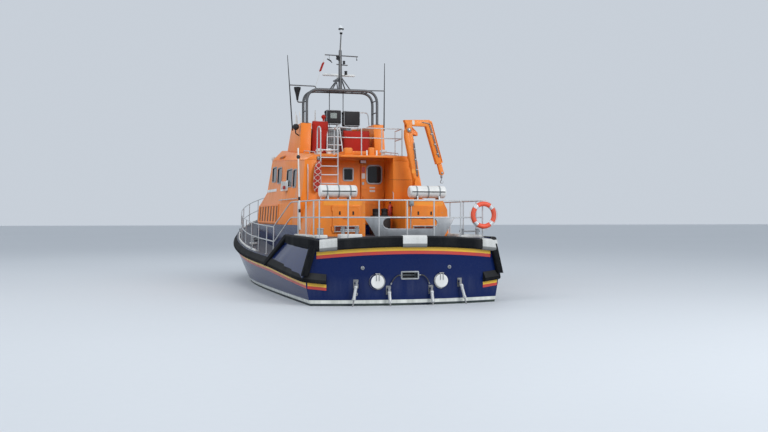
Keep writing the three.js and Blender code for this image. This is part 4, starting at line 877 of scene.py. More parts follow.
def makeMast():
    m = mast
    a, b = m["hoopX"]
    x, r = m["poleX"], m["radius"]
    shapes = []
    for hx in m["hoopX"]:
        corners = [[hx, m["half"], m["foot"]], [hx, m["half"], m["top"]], [hx, -m["half"], m["top"]],
            [hx, -m["half"], m["foot"]]]
        shapes.append(pipe(corners, m["bend"], r, 16, steps=12))
        shapes += [flange((hx, y, m["foot"]), 0.085) for y in (m["half"], -m["half"])]
    for y in (m["half"], -m["half"]):
        shapes += [tube([[a, y, z], [b, y, z]], 0.018) for z in m["rungs"]]
    shapes += [tube([[a, y, m["top"]], [b, y, m["top"]]], 0.022) for y in m["bars"]]
    top, (ya, yb) = m["top"], m["plate"]
    shapes.append(roundBox((a + 0.01, ya, top), (b - 0.01, yb, top + 0.026), 0.006))
    shapes.append(turned([x, 0, top], [x, 0, m["poleTop"]], [[0, 0.075], [0.04, 0.06], [0.6, 0.055],
        [0.97, 0.05], [1, 0.04]]))
    shapes.append(turned([x, 0, m["poleTop"]], [x, m["lampY"], m["stalkTop"]],
        [[0, 0.022], [1, 0.019]], 12))
    for ya, yb, z in (m["yard"], m["tee"]):
        shapes.append(tube([[x, ya, z + 0.01], [x, yb, z - 0.01]], 0.018))
    for sx in (a, b):
        shapes += [tube([[sx, sy, top + 0.01], [x, 0, m["stayTop"]]], 0.02) for sy in m["stayFoot"]]
    for s, reach, z in m["arms"]:
        arm = roundPath([[x, s * 0.78, top], [x, s * 0.8, z - 0.01], [x, s * reach, z]], 0.06)
        shapes += [tube(arm, 0.018), tube([[a, s * 0.78, top + 0.01], [b, s * 0.78, top + 0.01]], 0.02)]
    shapes += [tube([[-1.5, y, top], [-1.5, y, z]], 0.014) for y, z in m["hangers"]]
    rx, ry = m["scanner"]
    shapes.append(roundBox((x, -0.06, 6.59), (rx + 0.06, 0.06, 6.625), 0.008))
    shapes.append(roundBox((rx - 0.06, ry - 0.06, 6.59), (rx + 0.06, 0.06, 6.625), 0.008))
    shapes.append(turned([rx, ry, 6.6], [rx, ry, 6.69], [[0, 0.08], [0.9, 0.085], [1, 0.07]]))
    shapes.append(tube([[b, 0, 6.2], [-1.2, 0, 6.6]], 0.018))
    piece("mastFrame", shapes, darkMetal, stands=("mast",))
    whips = [tube([(x, *p) for p in way], 0.016, 10, scale=[1.3, 1.1, 0.6]) for way in m["whips"]]
    piece("whipAerials", whips, black)
    y = m["lampY"]
    low, high = np.array([x, y, m["stalkTop"] - 0.05]), np.array([x, y, m["lampTop"]])
    at = lambda k: low + (high - low) * k
    piece("topLamp", [turned(at(0.2), at(0.5), [[0, 0.04], [0.1, 0.045], [1, 0.066]]),
        turned(at(0.66), at(1), [[0, 0.072], [0.4, 0.072], [0.75, 0.055], [0.95, 0.025], [1, 0.006]])], lens)
    piece("topLampBands", [turned(at(0), at(0.22), [[0, 0.025], [0.1, 0.04], [0.8, 0.048], [1, 0.04]]),
        turned(at(0.49), at(0.67), [[0, 0.07], [0.1, 0.085], [0.9, 0.085], [1, 0.075]])], black)
    lamps, arms = [], []
    for ly, lz, r in m["lamps"]:
        rows = [[0, 0.4 * r], [0.1, r], [0.35, r], [0.4, 0.8 * r], [0.65, 0.8 * r], [0.7, r],
            [0.9, r], [1, 0.4 * r]]
        lamps.append(turned([x - 0.06, ly, lz - r * 1.3], [x - 0.06, ly, lz + r * 1.3], rows))
        arms.append(pipe([[x, 0.02 * np.sign(ly), lz - 0.06], [x - 0.06, ly * 0.6, lz - 0.1],
            [x - 0.06, ly, lz - 0.05]], 0.04, 0.01, 8))
    # The last lamp hangs from the yard's end
    arms[3] = tube([[x, -0.53, 7.31], [x - 0.05, -0.53, 7.21]], 0.008, 8)
    horn = [[0, 0.03], [0.3, 0.045], [0.6, 0.075], [0.85, 0.105], [0.97, 0.11], [1, 0.1], [0.9, 0.07]]
    y, z0, z1 = m["horn"]
    lamps.append(turned([x, y, z0], [x, y, z1], horn, 28))
    arms.append(pipe([[x, y, z0 + 0.02], [x, 1.37, 5.8], [x, 1.24, 5.8], [a, 1.17, 5.8]], 0.05, 0.022))
    vane = np.array([[x - 0.03, 0.44, 7.2], [x - 0.05, 0.33, 7.14], [x - 0.06, 0.28, 7.07]])
    lamps.append(tube(vane, 0.022, 10, scale=[0.7, 1, 0.5]))
    arms.append(tube([[x, 0.36, 7.31], [x - 0.04, 0.36, 7.16]], 0.006, 8))
    piece("mastLamps", lamps, black)
    piece("mastLampArms", arms, darkMetal)
    small = [((-1.9, 1.3, 5.12), (-1.9, 1.36, 5.5), 0.02), ((-1.3, 1.31, 5.1), (-1.3, 1.33, 5.44), 0.026),
        ((-0.9, 1.27, 5.1), (-0.9, 1.28, 5.6), 0.014), ((-0.5, 0.55, 4.95), (-0.5, 0.55, 5.7), 0.028),
        ((x + 0.09, -0.05, 7.3), (x + 0.09, -0.05, 8.2), 0.009)]
    rows = [(0, 1.6), (0.08, 1.6), (0.1, 1), (0.5, 0.9), (0.97, 0.7), (1, 0.2)]
    aerials = [turned(p, q, [(t, k * r) for t, k in rows], 14) for p, q, r in small]
    piece("smallAerials", [*aerials, tube([[x, -0.02, 7.31], [x + 0.09, -0.05, 7.31]], 0.012, 8)], white)
    light = np.array(m["searchLight"])
    piece("searchLight", [turned(light - [0.09, 0, 0], light + [0.08, 0, 0],
        [[0, 0.03], [0.2, 0.07], [0.6, 0.095], [0.9, 0.1], [1, 0.09]], 28),
        pipe([light + [0, 0.02, -0.09], light + [0, 0.02, -0.2], light + [0.1, -0.1, -0.26]],
        0.04, 0.02)], black)
    piece("searchLightLens", [turned(light + [0.079, 0, 0], light + [0.088, 0, 0],
        [[0, 0.085], [0.8, 0.084], [1, 0.07]], 28)], lens)
    halyard = [(x, *p) for p in m["halyard"]]
    piece("halyard", [tube(halyard, 0.004, 8)], ropeWhite)


makeMast()


# Scanner: a long aerofoil bar on its turning head
def makeScanner():
    rx, ry = mast["scanner"]
    y = np.array([-0.54, -0.53, -0.5, 0.5, 0.53, 0.54]) + ry
    high = np.array([0.5, 0.85, 1, 1, 0.85, 0.5])
    a = np.linspace(0, 2 * pi, 24, endpoint=False)
    bar = stacked(rx + 0.05 * np.cos(a)[None] * high[:, None], np.broadcast_to(y[:, None], (6, 24)),
        6.8 + 0.04 * np.sign(np.sin(a)) * np.abs(np.sin(a)) ** 0.6 * high[:, None])
    head = turned([rx, ry, 6.693], [rx, ry, 6.765], [[0, 0.07], [0.7, 0.07], [1, 0.045]])
    piece("scannerBar", [grid(bar, closeV=True, capU=True), head], white, body="radar_scanner",
        stands=("radar_scanner",))


makeScanner()

# Life rafts: drum with rounded ends, a raised joint round its middle, straps and a cradle
raft = {"x": -5.81, "z": 2.89, "radius": 0.175, "spans": {"port": (0.52, 1.58), "starboard": (-2.08, -1.0)}}


def makeRaft(side):
    x, z, r = raft["x"], raft["z"], raft["radius"]
    y0, y1 = raft["spans"][side]
    t = np.linspace(0, 1, 8)
    end = stacked(0.07 * (1 - np.cos(t * pi / 2)), r - 0.055 * (1 - np.sin(t * pi / 2)))
    rows = np.concatenate([[[0, 0.06]], end, [[y1 - y0 - v[0], v[1]] for v in end[::-1]],
        [[y1 - y0, 0.06]]])
    rows[:, 0] /= y1 - y0
    drum = turned([x, y0, z], [x, y1, z], rows, 40)
    y = np.array([y0 + 0.05, y1 - 0.05])
    joint = [roundBox((x - r - 0.008, y[0], z - 0.014), (x + r + 0.008, y[1], z + 0.014), 0.006)]
    straps = []
    for ys in (y0 + 0.2, (y0 + y1) / 2, y1 - 0.2):
        a = np.linspace(0, 2 * pi, 40, endpoint=False)
        ring = stacked(x + (r + 0.001) * np.cos(a), 0 * a + ys, z + (r + 0.001) * np.sin(a))
        straps.append(sweep(ring, [[0.02, 0], [0.02, 0.004], [-0.02, 0.004], [-0.02, 0]],
            lift=ring - [x, ys, z], close=True))
    cradle = []
    for yc in (y0 + 0.22, y1 - 0.22):
        top = [(x + 0.17 * math.cos(a), z + 0.17 * math.sin(a) - 0.012)
            for a in np.linspace(-2.5, -0.64, 12)]
        outline = [(z0, x0) for x0, z0 in [(x - 0.16, 2.651), *top, (x + 0.16, 2.651)]]
        cradle.append(slab(outline, "y", yc - 0.02, yc + 0.02))
    piece(f"raftDrum.{side}", [drum], white, stands=(f"life_raft_{side}",))
    piece(f"raftBand.{side}", joint, black, slot="white_plastic")
    piece(f"raftStraps.{side}", straps, greyBox, slot="white_plastic")
    piece(f"raftCradle.{side}", cradle, alloy)


for side, s in sides:
    makeRaft(side)

# Lifebuoy: ring with four pale bands and a grab line in bights
lifebuoy = {"at": (-8.6, -2.14, 2.23), "ring": 0.29, "radius": 0.062}


# Part of a torus: centre plus the spoke times (ring + radius * cos b), and radius * sin b along X
def torusRow(centre, ring, radius, a0, a1, n, count=20):
    a = np.linspace(a0, a1, n)
    spoke = stacked(0 * a, np.cos(a), np.sin(a))
    b = np.linspace(0, 2 * pi, count, endpoint=False)
    out, fore = (ring + radius * np.cos(b))[None, :, None], (radius * np.sin(b))[None, :, None]
    return np.asarray(centre) + spoke[:, None] * out + np.array([1, 0, 0]) * fore


def makeLifebuoy():
    v = lifebuoy
    body = torusRow(v["at"], v["ring"], v["radius"], 0, 2 * pi * 95 / 96, 96)
    piece("lifebuoyRing", [grid(body, closeU=True, closeV=True)], buoyRed, stands=("lifebuoy",))
    bands = [grid(torusRow(v["at"], v["ring"], v["radius"] + 0.003, k - 0.17, k + 0.17, 12), closeV=True,
        capU=True) for k in np.arange(4) * pi / 2 + pi / 4]
    piece("lifebuoyBands", bands, tape)
    a = np.linspace(0, 2 * pi, 96, endpoint=False)
    out = v["ring"] + v["radius"] + 0.006 + 0.014 * (1 - np.cos(4 * (a - pi / 4)))
    line = stacked(v["at"][0] + 0 * a, v["at"][1] + out * np.cos(a), v["at"][2] + out * np.sin(a))
    piece("lifebuoyLine", [tube(line, 0.005, 8, close=True)], ropeWhite, slot="lifebuoy_plastic")


makeLifebuoy()
print("stage: rails, mast, rafts, lifebuoy")

# Deckhouse: rows of half breadth and front x by height, then the knuckle and crown lines that climb forward
house = {
    "aft": -4.45, "bulkhead": -3.5, "heights": (1.95, 2.6, 3.02), "halves": (1.88, 1.83, 1.76),
    "knuckle": (3.82, 0.0515, 1.70), "crown": (3.98, 0.0857, 1.42),
    # x from, x to, z from, z to
    "windows": [(0.06, 0.82, 3.36, 3.84), (-0.9, -0.18, 3.29, 3.78), (-2.7, -1.83, 3.12, 3.65),
                (-3.39, -2.87, 3.08, 3.61)],
    "panes": (-0.78, 0.0, 0.78), "pane": (0.66, 0.58, 3.55), "frame": 0.036,
    "louvres": {"from": -0.98, "to": 2.98, "foot": 1.99, "top": 2.6, "slots": 7, "slot": 0.3, "proud": 0.016},
    "plate": (-0.12, 1.64, 3.03, 3.12), "handrail": (-4.2, -1.25, 2.72), "seam": 3.28,
    # foot x and z, fall of x with height, outward direction in x and z; then the corner beside it
    "front": (2.15, 3.02, 0.6624, (0.834, 0.552)),
    # half breadth at the foot and its fall, length and width of the slant, outward direction in x and y
    "corner": (1.76, 0.0545, 0.38, 0.304, (0.62, 0.78)), "cornerWindow": (0.74, 0.5, (0.5, 3.58)),
    "lampScreen": (-2.12, -1.74, 2.99, 3.32), "sideLamp": (-1.93, 3.04, 0.085), "edgeLamp": (1.32, 1.58),
    "airSlot": [(-0.03, 0.2), (-0.08, 0.34), (-0.6, 0.55), (-0.5, 0.3)]}


def knuckleZ(x):
    z, slope = house["knuckle"][:2]
    return z + slope * (np.asarray(x, float) - house["aft"])


def crownLineZ(x):
    z, slope = house["crown"][:2]
    return z + slope * (np.asarray(x, float) - house["aft"])


# Half breadth of the side at x and z: straight between the rows, then in to the knuckle, then in to the crown
def houseHalf(x, z):
    k, c = knuckleZ(x), crownLineZ(x)
    half, high = house["halves"][-1], house["heights"][-1]
    knuckle, crown = house["knuckle"][2], house["crown"][2]
    wall = np.interp(z, house["heights"], house["halves"])
    mid = half + (knuckle - half) * (z - high) / (k - high)
    top = knuckle + (crown - knuckle) * (z - k) / (c - k)
    return np.where(z < high, wall, np.where(z < k, mid, top))


# Side wall: u is x, v is z, out is added to the half breadth; aft wall: u is y, v is z, out is aft
def sideWall(s):
    return lambda x, z, out: stacked(x, s * (houseHalf(x, z) + out), z)


def aftWall(at):
    return lambda y, z, out: stacked(at - out + 0 * y, y, z + 0 * y)


# Raked front: x falls with the height over the foot, out is square to that slope
def frontWall(y, z, out):
    x, foot, fall, (outX, outZ) = house["front"]
    return stacked(x - fall * (z - foot) + outX * out, y, z + outZ * out)


# Slanted corner beside the front: u is the share from the side to the front
def cornerWall(s):
    x, foot, fall = house["front"][:3]
    wide, draw, deep, across, (outX, outY) = house["corner"]

    def place(u, z, out):
        front, half = x - fall * (z - foot), wide - draw * (z - foot)
        return stacked(front - deep + deep * u + outX * out, s * (half - across * u + outY * out), z)
    return place


# Slope between the knuckle and the crown: u is x, v the share of the way up
def roofSlope(s):
    def place(x, v, out):
        k, c = knuckleZ(x), crownLineZ(x)
        rise, run = c - k, house["knuckle"][2] - house["crown"][2]
        size = np.hypot(rise, run)
        return stacked(x, s * (house["knuckle"][2] - run * v + out * rise / size),
            k + rise * v + out * run / size)
    return place


# Window: proud frame, black seal and recessed pane, each from the outline drawn in or out
def windowOn(wall, outline, wide):
    return ([frameOn(wall, insetOutline(outline, -0.022), wide, -0.012, 0.014, 0.006)],
        [frameOn(wall, insetOutline(outline, 0.012), 0.014, -0.016, 0.006)],
        [panel(wall, insetOutline(outline, -0.004), -0.03, -0.012, 0.003)])


# Frames, seals and panes of several windows, one piece each
def glaze(name, windows):
    for part, material, k in (("Frames", alloy, 0), ("Seals", black, 1), ("Glass", glass, 2)):
        piece(name.format(part), [shape for w in windows for shape in w[k]], material)


def makeWindows():
    v = house
    w, h, centre = v["cornerWindow"]
    for side, s in sides:
        windows = [windowOn(sideWall(s), rect(*span, 0.07), v["frame"]) for span in v["windows"]]
        windows.append(windowOn(cornerWall(s), roundRect(w, h, 0.05, 6, centre), v["frame"]))
        glaze("window{}." + side, windows)
    w, h, z = v["pane"]
    glaze("windscreen{}", [windowOn(frontWall, roundRect(w, h, 0.06, 6, (y, z)), v["frame"])
        for y in v["panes"]])
    wipers = []
    for y in v["panes"]:
        at = lambda u, q, o: frontWall(np.array([u]), np.array([q]), np.array([o]))[0]
        wipers.append(tube([at(y, 3.9, 0.03), at(y + 0.1, 3.62, 0.035)], 0.009, 10))
        wipers.append(tube([at(y + 0.1, 3.8, 0.016), at(y + 0.1, 3.4, 0.016)], 0.008, 8))
        wipers.append(turned(at(y, 3.9, 0.0), at(y, 3.9, 0.05), [[0, 0.035], [0.7, 0.035], [1, 0.02]], 16))
    piece("wipers", wipers, black)


# Louvres low on the sides: a proud frame, upright bars, slanted blades in dark slots, whose black back is
# painted shade
def makeLouvres(side, s):
    v = house["louvres"]
    wall = sideWall(s)
    a, b, z0, z1, proud = v["from"], v["to"], v["foot"], v["top"], v["proud"]
    # Black sheet behind the bars: painted shade in the slots
    back = [panel(wall, rect(a + 0.03, b - 0.03, z0 + 0.03, z1 - 0.03), 0.001, 0.006, 0.002)]
    shapes = [frameOn(wall, rect(a, b, z0, z1, 0.03), 0.055, -0.004, proud + 0.012, 0.008)]
    pitch = (b - a - 0.11) / v["slots"]
    for k in range(v["slots"] + 1):
        x = a + 0.055 + pitch * k
        half = (pitch - v["slot"]) / 2
        lo, hi = max(x - half, a + 0.04), min(x + half, b - 0.04)
        shapes.append(panel(wall, rect(lo, hi, z0 + 0.04, z1 - 0.04, 0.004), 0.002, proud, 0.006))
    blades = []
    for k in range(v["slots"]):
        x = a + 0.055 + pitch * (k + 0.5)
        along = x + 0.09 + np.array([-0.012, 0.012, 0.016, -0.008])
        out = np.array([0.006, 0.026, 0.02, 0.0])
        pts = np.stack([wall(along, np.full(4, z), out) for z in (z0 + 0.05, z1 - 0.05)])
        blades.append(grid(pts, closeV=True, capU=True))
    piece(f"louvreShadeBack.{side}", back, black, slot="orange_paint")
    piece(f"louvreFrame.{side}", shapes + blades, orange)


# Fittings on the sides: blank plate, handrail, lamp screen, cap strip, roof-edge lamp and air slot
def makeSideFittings(side, s):
    v, wall = house, sideWall(s)
    piece(f"sidePlate.{side}", [panel(wall, rect(*v["plate"], 0.012), 0.0005, 0.009)], white)
    x0, x1, z = v["handrail"]
    xs = np.linspace(x0, x1, 14)
    line = wall(xs, np.full_like(xs, z), np.full_like(xs, 0.075))
    shapes = [tube(line, 0.015)]
    for x in np.linspace(x0 + 0.1, x1 - 0.1, 4):
        a, b = wall(np.array([x, x]), np.array([z, z]), np.array([0.0, 0.075]))
        shapes += [tube([a, b], 0.012, 10), turned(a, a + [0, s * 0.012, 0], [[0, 0.035], [1, 0.03]], 16)]
    piece(f"sideHandrail.{side}", shapes, rail)
    x0, x1, z0, z1 = v["lampScreen"]
    box = [panel(wall, rect(x0, x1, z0, z0 + 0.05), 0.0, 0.16, 0.008),
        panel(wall, rect(x1 - 0.04, x1, z0, z1 - 0.02), 0.0, 0.16, 0.008),
        panel(wall, rect(x0, x1, z0, z1, 0.02), 0.0, 0.02, 0.006)]
    piece(f"lampScreen.{side}", box, white)
    at = wall(*np.array(v["sideLamp"])[:, None])[0]
    piece(f"sideLamp.{side}", [turned(at, at + [0, 0, 0.12], [[0, 0.035], [0.15, 0.045], [0.8, 0.045],
        [1, 0.02]])], redLens if s > 0 else glass, slot="white_plastic")
    xs = np.linspace(v["aft"] + 0.02, 0.98, 24)
    edge = roofSlope(s)(xs, np.zeros_like(xs), np.zeros_like(xs))
    piece(f"knuckleStrip.{side}", [tube(edge, 0.012, 10)], orange)
    x, y = v["edgeLamp"]
    at = np.array([x, s * y, knuckleZ(x) - 0.05])
    dome = [[0, 0.05], [0.4, 0.075], [0.55, 0.085], [0.75, 0.075], [0.92, 0.045], [1, 0.015]]
    piece(f"edgeLamp.{side}", [turned(at, at + [0, s * 0.05, 0.2], dome)], white)
    slot = np.array(v["airSlot"])
    slope = roofSlope(s)
    piece(f"airSlot.{side}", [panel(slope, slot, 0.0005, 0.005, 0.001)], black)
    rim = frameOn(slope, insetOutline(slot, -0.02), 0.022, 0.0, 0.012, 0.002)
    piece(f"airSlotRim.{side}", [rim], orange)


# Aft shelter: lip, door skin and window, small window, blank plates, lamp, access panel, seams
shelter = {"lip": (0.64, -0.74, 3.945), "door": (-0.885, -0.215, 1.985, 3.755), "leafX": -3.548,
           "doorWindow": (-0.615, 3.465, 0.44, 0.52), "smallWindow": (0.03, 0.33, 3.28, 3.65),
           # y from, y to, z from, z to
           "redPlate": (-0.33, -0.225, 3.52, 3.69), "palePlate": (-0.33, -0.225, 3.34, 3.5),
           "lowPlate": (-0.64, -0.47, 2.94, 3.09), "hatch": (-1.3, -1.0, 1.98, 2.6),
           "sidePanel": (-1.5, -1.36, 2.0, 2.6), "lamp": ((-3.6, -0.36, 3.8), (-3.53, -0.16, 3.9)),
           "ribs": (2.05, 2.55, 3.0), "dogs": (2.3, 3.15), "seams": (-1.68, -0.84, -1.62, 3.8),
           "latches": [(-1.03, 2.15), (-1.03, 2.45), (-1.27, 2.3), (-1.43, 2.3)]}


def makeShelter():
    v = shelter
    y0, y1, z = v["lip"]
    y = np.linspace(y0, y1, 20)
    lip = stacked(0 * y - 4.452, y, 0 * y + z + 0.012)
    piece("roofLip", [sweep(lip, softPoly([(-0.012, -0.03), (0.02, -0.03), (0.02, 0.03), (-0.012, 0.03)],
        0.012), lift=(0, 0, 1))], orange)
    leaf, bulkhead, aft = aftWall(v["leafX"]), aftWall(house["bulkhead"]), aftWall(house["aft"])
    skin = panel(leaf, rect(*v["door"], 0.04), 0.0006, 0.006, 0.003)
    stiff = [panel(leaf, rect(-0.86, -0.24, q, q + 0.05), 0.005, 0.014) for q in v["ribs"]]
    piece("doorSkin", [skin, *stiff], orange, body="cabin_door")
    yc, zc, w, h = v["doorWindow"]
    outline = roundRect(w, h, 0.1, 8, (yc, zc))
    piece("doorWindowFrame", [frameOn(leaf, insetOutline(outline, -0.035), 0.045, 0.004, 0.026, 0.008)],
        alloy, body="cabin_door")
    piece("doorGlass", [panel(leaf, outline, 0.006, 0.014, 0.003)], glass, body="cabin_door")
    for name, finish in (("redPlate", red), ("palePlate", white), ("lowPlate", white)):
        piece(f"door.{name}", [panel(leaf, rect(*v[name], 0.012), 0.0055, 0.0095, 0.002)], finish,
            body="cabin_door", slot="white_plastic")
    dogs = [panel(leaf, rect(-0.3, -0.235, q, q + 0.09, 0.02), 0.005, 0.02) for q in v["dogs"]]
    piece("doorDogs", dogs, alloy, body="cabin_door")
    f, e, p = windowOn(bulkhead, rect(*v["smallWindow"], 0.05), 0.034)
    piece("shelterWindowFrame", f + e, alloy)
    piece("shelterWindowGlass", p, glass)
    lamp = [roundBox(*v["lamp"], 0.015), roundBox((-3.55, -0.28, 3.84), (-3.5, -0.24, 3.87))]
    piece("shelterLamp", lamp, black)
    piece("shelterLampLens", [roundBox((-3.607, -0.345, 3.81), (-3.598, -0.175, 3.89), 0.004)], lens)
    yy = v["hatch"]
    piece("aftAccess", [panel(aft, rect(*yy, 0.03), 0.0005, 0.01), panel(aft, rect(*v["sidePanel"], 0.02),
        0.0005, 0.012)], orange)
    a, b, x, top = v["seams"]
    z = house["seam"]
    seams = [panel(aft, rect(a, b, z, z + 0.007, 0.002), 0.0004, 0.0024, 0.0006),
        panel(aft, rect(x, x + 0.007, z, top, 0.002), 0.0004, 0.0024, 0.0006),
        panel(aft, rect(yy[0] - 0.008, yy[1] + 0.008, yy[2] - 0.008, yy[3] + 0.008, 0.03),
        0.0003, 0.003, 0.001)]
    piece("aftSeams", seams, black, slot="orange_paint")
    latches = [roundBox((-4.475, y - 0.02, z - 0.03), (-4.452, y + 0.02, z + 0.03), 0.006)
        for y, z in v["latches"]]
    piece("aftLatches", latches, steel)
    trunk = [pipe([[-4.47, 1.62, 2.66], [-4.5, 1.62, 2.9], [-4.5, 1.62, 3.6],
        [-4.47, 1.62, 3.7]], 0.05, 0.014)]
    y = -0.93
    trunk.append(pipe([[-4.455, y, 2.2], [-4.52, y, 2.22], [-4.52, y, 2.9],
        [-4.455, y, 2.92]], 0.04, 0.013))
    piece("aftGrabRails", trunk, rail)


# Roof aft edge: two boxes, two short posts; roof hatch, vents and hand rails forward
roofGear = {"boxes": [((-4.38, 0.26, 4.0), (-4.18, 0.51, 4.21), 0.05),
                      ((-4.36, -0.41, 3.99), (-4.22, -0.24, 4.23), 0.03)],
            "posts": [(-4.36, -0.17), (-4.36, -0.47)], "high": 0.16,
            "vents": [(-3.2, 1.0), (-3.2, -1.0), (-2.55, 0.55)]}


def makeRoofGear():
    v = roofGear
    boxes = [roundBox(a, b, r, 5) for a, b, r in v["boxes"]]
    boxes += [roundBox((a[0] - 0.015, a[1] - 0.015, a[2] - 0.01), (b[0] + 0.015, b[1] + 0.015, a[2] + 0.02),
        0.008) for a, b, r in v["boxes"]]
    piece("roofBoxes", boxes, orange)
    posts = []
    for x, y in v["posts"]:
        z = crownLineZ(x)
        posts.append(turned([x, y, z], [x, y, z + v["high"]], [[0, 0.035], [0.08, 0.035], [0.1, 0.022],
            [0.85, 0.022], [0.95, 0.018], [1, 0.006]]))
    piece("roofPosts", posts, white)
    vents = []
    for x, y in v["vents"]:
        z = crownLineZ(x)
        vents.append(turned([x, y, z - 0.01], [x, y, z + 0.16], [[0, 0.07], [0.5, 0.06], [0.52, 0.115],
            [0.8, 0.11], [1, 0.05]]))
    piece("roofVents", vents, white)
    z = crownLineZ
    hatch = [roundBox((-3.5, -0.42, z(-3.5)), (-2.75, 0.3, z(-2.75) + 0.05), 0.02, 4)]
    piece("roofHatch", hatch, orange)
    rails = []
    for s in (1, -1):
        pts = [[-3.9, s * 1.28, z(-3.9)], [-3.86, s * 1.28, z(-3.86) + 0.07],
            [-2.3, s * 1.28, z(-2.3) + 0.07], [-2.26, s * 1.28, z(-2.26)]]
        rails += [pipe(pts, 0.04, 0.013), tube([[-3.1, s * 1.28, z(-3.1)],
            [-3.1, s * 1.28, z(-3.1) + 0.07]], 0.011)]
    piece("roofHandrails", rails, rail)


# Roof ladder: bent strings, flat treads, and the rail round the roof's aft edge
roofLadder = {"x": -4.51, "y": (0.74, 1.25), "foot": 2.66, "top": 4.78,
    "treads": (2.9, 3.15, 3.4, 3.65, 3.9, 4.12), "railX": -4.38, "posts": (0.0, -0.62,
    -1.24), "radius": 0.02}


def makeRoofLadder():
    v = roofLadder
    x, r = v["x"], v["radius"]
    shapes = []
    for y in v["y"]:
        line = [[x, y, v["foot"]], [x, y, v["top"]], [x + 0.42, y, v["top"] + 0.04],
            [x + 0.48, y, crownLineZ(x + 0.48)]]
        shapes += [pipe(line, 0.16, r, 16, steps=10), flange((x, y, v["foot"] - 0.008), 0.045)]
        shapes.append(flange((x + 0.48, y, crownLineZ(x + 0.48)), 0.045))
    for z in v["treads"]:
        outline = softPoly([(x - 0.055, z - 0.014), (x + 0.02, z - 0.014), (x + 0.02, z + 0.014),
            (x - 0.055, z + 0.014)], 0.006)
        y = np.array([v["y"][0], v["y"][0] + 0.01, v["y"][1] - 0.01, v["y"][1]])
        shapes.append(grid(np.stack([stacked(outline[:, 0], 0 * outline[:, 0] + q, outline[:, 1])
            for q in y]), closeV=True, capU=True))
    rx = v["railX"]
    for y in v["posts"]:
        z = crownLineZ(rx)
        shapes += [tube([[rx, y, z], [rx, y, 4.79]], 0.017), flange((rx, y, z), 0.045)]
    for z in (4.79, 4.5):
        line = [[x + 0.02, v["y"][0], z], [rx, 0.56, z], [rx, -1.24, z], [rx + 0.9, -1.3, z]]
        shapes.append(pipe(line, 0.1, 0.016, steps=8))
    z = crownLineZ(rx + 0.9)
    shapes += [tube([[rx + 0.9, -1.3, z], [rx + 0.9, -1.3, 4.79]], 0.017),
        flange((rx + 0.9, -1.3, z), 0.045)]
    piece("roofLadderTubes", shapes, rail, stands=("roof_ladder",))


makeWindows()
for side, s in sides:
    makeLouvres(side, s)
    makeSideFittings(side, s)
makeShelter()
makeRoofGear()
makeRoofLadder()
print("stage: deckhouse")


# Cloth: a closed form remeshed, blown gently against its own weave, no point moving past the cap,
# then its folds pressed in as waves of the place that fade towards the top edge
def blownCloth(o, voxel, cap, fold=(0.006, 9.0), seed=0.0):
    me = o.data
    remesh = o.modifiers.new("remesh", "REMESH")
    remesh.mode, remesh.voxel_size = "VOXEL", voxel
    applyLast(o)
    me = o.data
    n = len(me.vertices)
    rest = np.empty(n * 3, np.float32)
    me.vertices.foreach_get("co", rest)
    cloth = o.modifiers.new("cloth", "CLOTH")
    s = cloth.settings
    s.use_pressure, s.uniform_pressure_force = True, 4.0
    s.effector_weights.gravity = 0.0
    s.tension_stiffness, s.bending_stiffness, s.quality = 12, 0.4, 4
    for f in range(1, 21):
        bpy.context.scene.frame_set(f)
    bent = o.evaluated_get(bpy.context.evaluated_depsgraph_get()).data
    new = np.empty(n * 3, np.float32)
    bent.vertices.foreach_get("co", new)
    o.modifiers.remove(cloth)
    bpy.context.scene.frame_set(1)
    rest, new = rest.reshape(-1, 3), new.reshape(-1, 3)
    by = new - rest
    far = np.linalg.norm(by, axis=1, keepdims=True)
    by *= np.tanh(far / cap) * cap / np.maximum(far, 1e-9)
    me.vertices.foreach_set("co", (rest + by).ravel())
    me.update()
    n = len(me.vertices)
    at, nrm = np.empty(n * 3, np.float32), np.empty(n * 3, np.float32)
    me.vertices.foreach_get("co", at)
    me.vertices.foreach_get("normal", nrm)
    at, nrm = at.reshape(-1, 3), nrm.reshape(-1, 3)
    low, high = at.min(0), at.max(0)
    down = np.clip((high[2] - at[:, 2]) / (high[2] - low[2] + 1e-9), 0, 1) ** 0.7
    along = at[:, 0] + at[:, 1] + 0.12 * at[:, 2]
    wave = np.sin(along * 2 * pi * fold[1] * 0.5 + seed + 1.3 * np.sin(at[:, 2] * 5 + seed))
    wave += 0.5 * np.sin(along * 2 * pi * fold[1] + 2.1 * seed + at[:, 2] * 7)
    shift = nrm * (wave * fold[0] * 0.5 * down * (1 - np.abs(nrm[:, 2])))[:, None]
    me.vertices.foreach_set("co", (at + shift).ravel())
    me.polygons.foreach_set("use_smooth", np.ones(len(me.polygons), bool))
    me.update()
    o.modifiers.new("smooth", "SUBSURF").levels = 1
    o.modifiers["smooth"].render_levels = 1
    return o


# The modifier's result becomes the mesh
def applyLast(o):
    bpy.context.view_layer.update()
    mesh = bpy.data.meshes.new_from_object(o.evaluated_get(bpy.context.evaluated_depsgraph_get()))
    o.modifiers.clear()
    o.data = mesh


# Thin roll sewn on a soft piece: each point of the path is taken to the nearest point of its surface
def rollOn(o, path, radius, lift=0.4):
    out = []
    for q in np.asarray(path, float):
        near, nrm = o.closest_point_on_mesh(Vector(q))[1:3]
        out.append(np.array(near) + np.array(nrm) * radius * lift)
    return tube(out, radius, 6)


# Seat covers: the seat's side outline, drawn in, carried across with crowned cheeks
covers = {"seats": {"port": (0.475, 0.975, 5.215, 0.0), "starboard": (-0.875, -0.005, 4.945, 2.0)},
    "voxel": 0.016, "cap": 0.022, "cheek": 0.05, "seam": 0.008, "fold": (0.03, 4.0)}


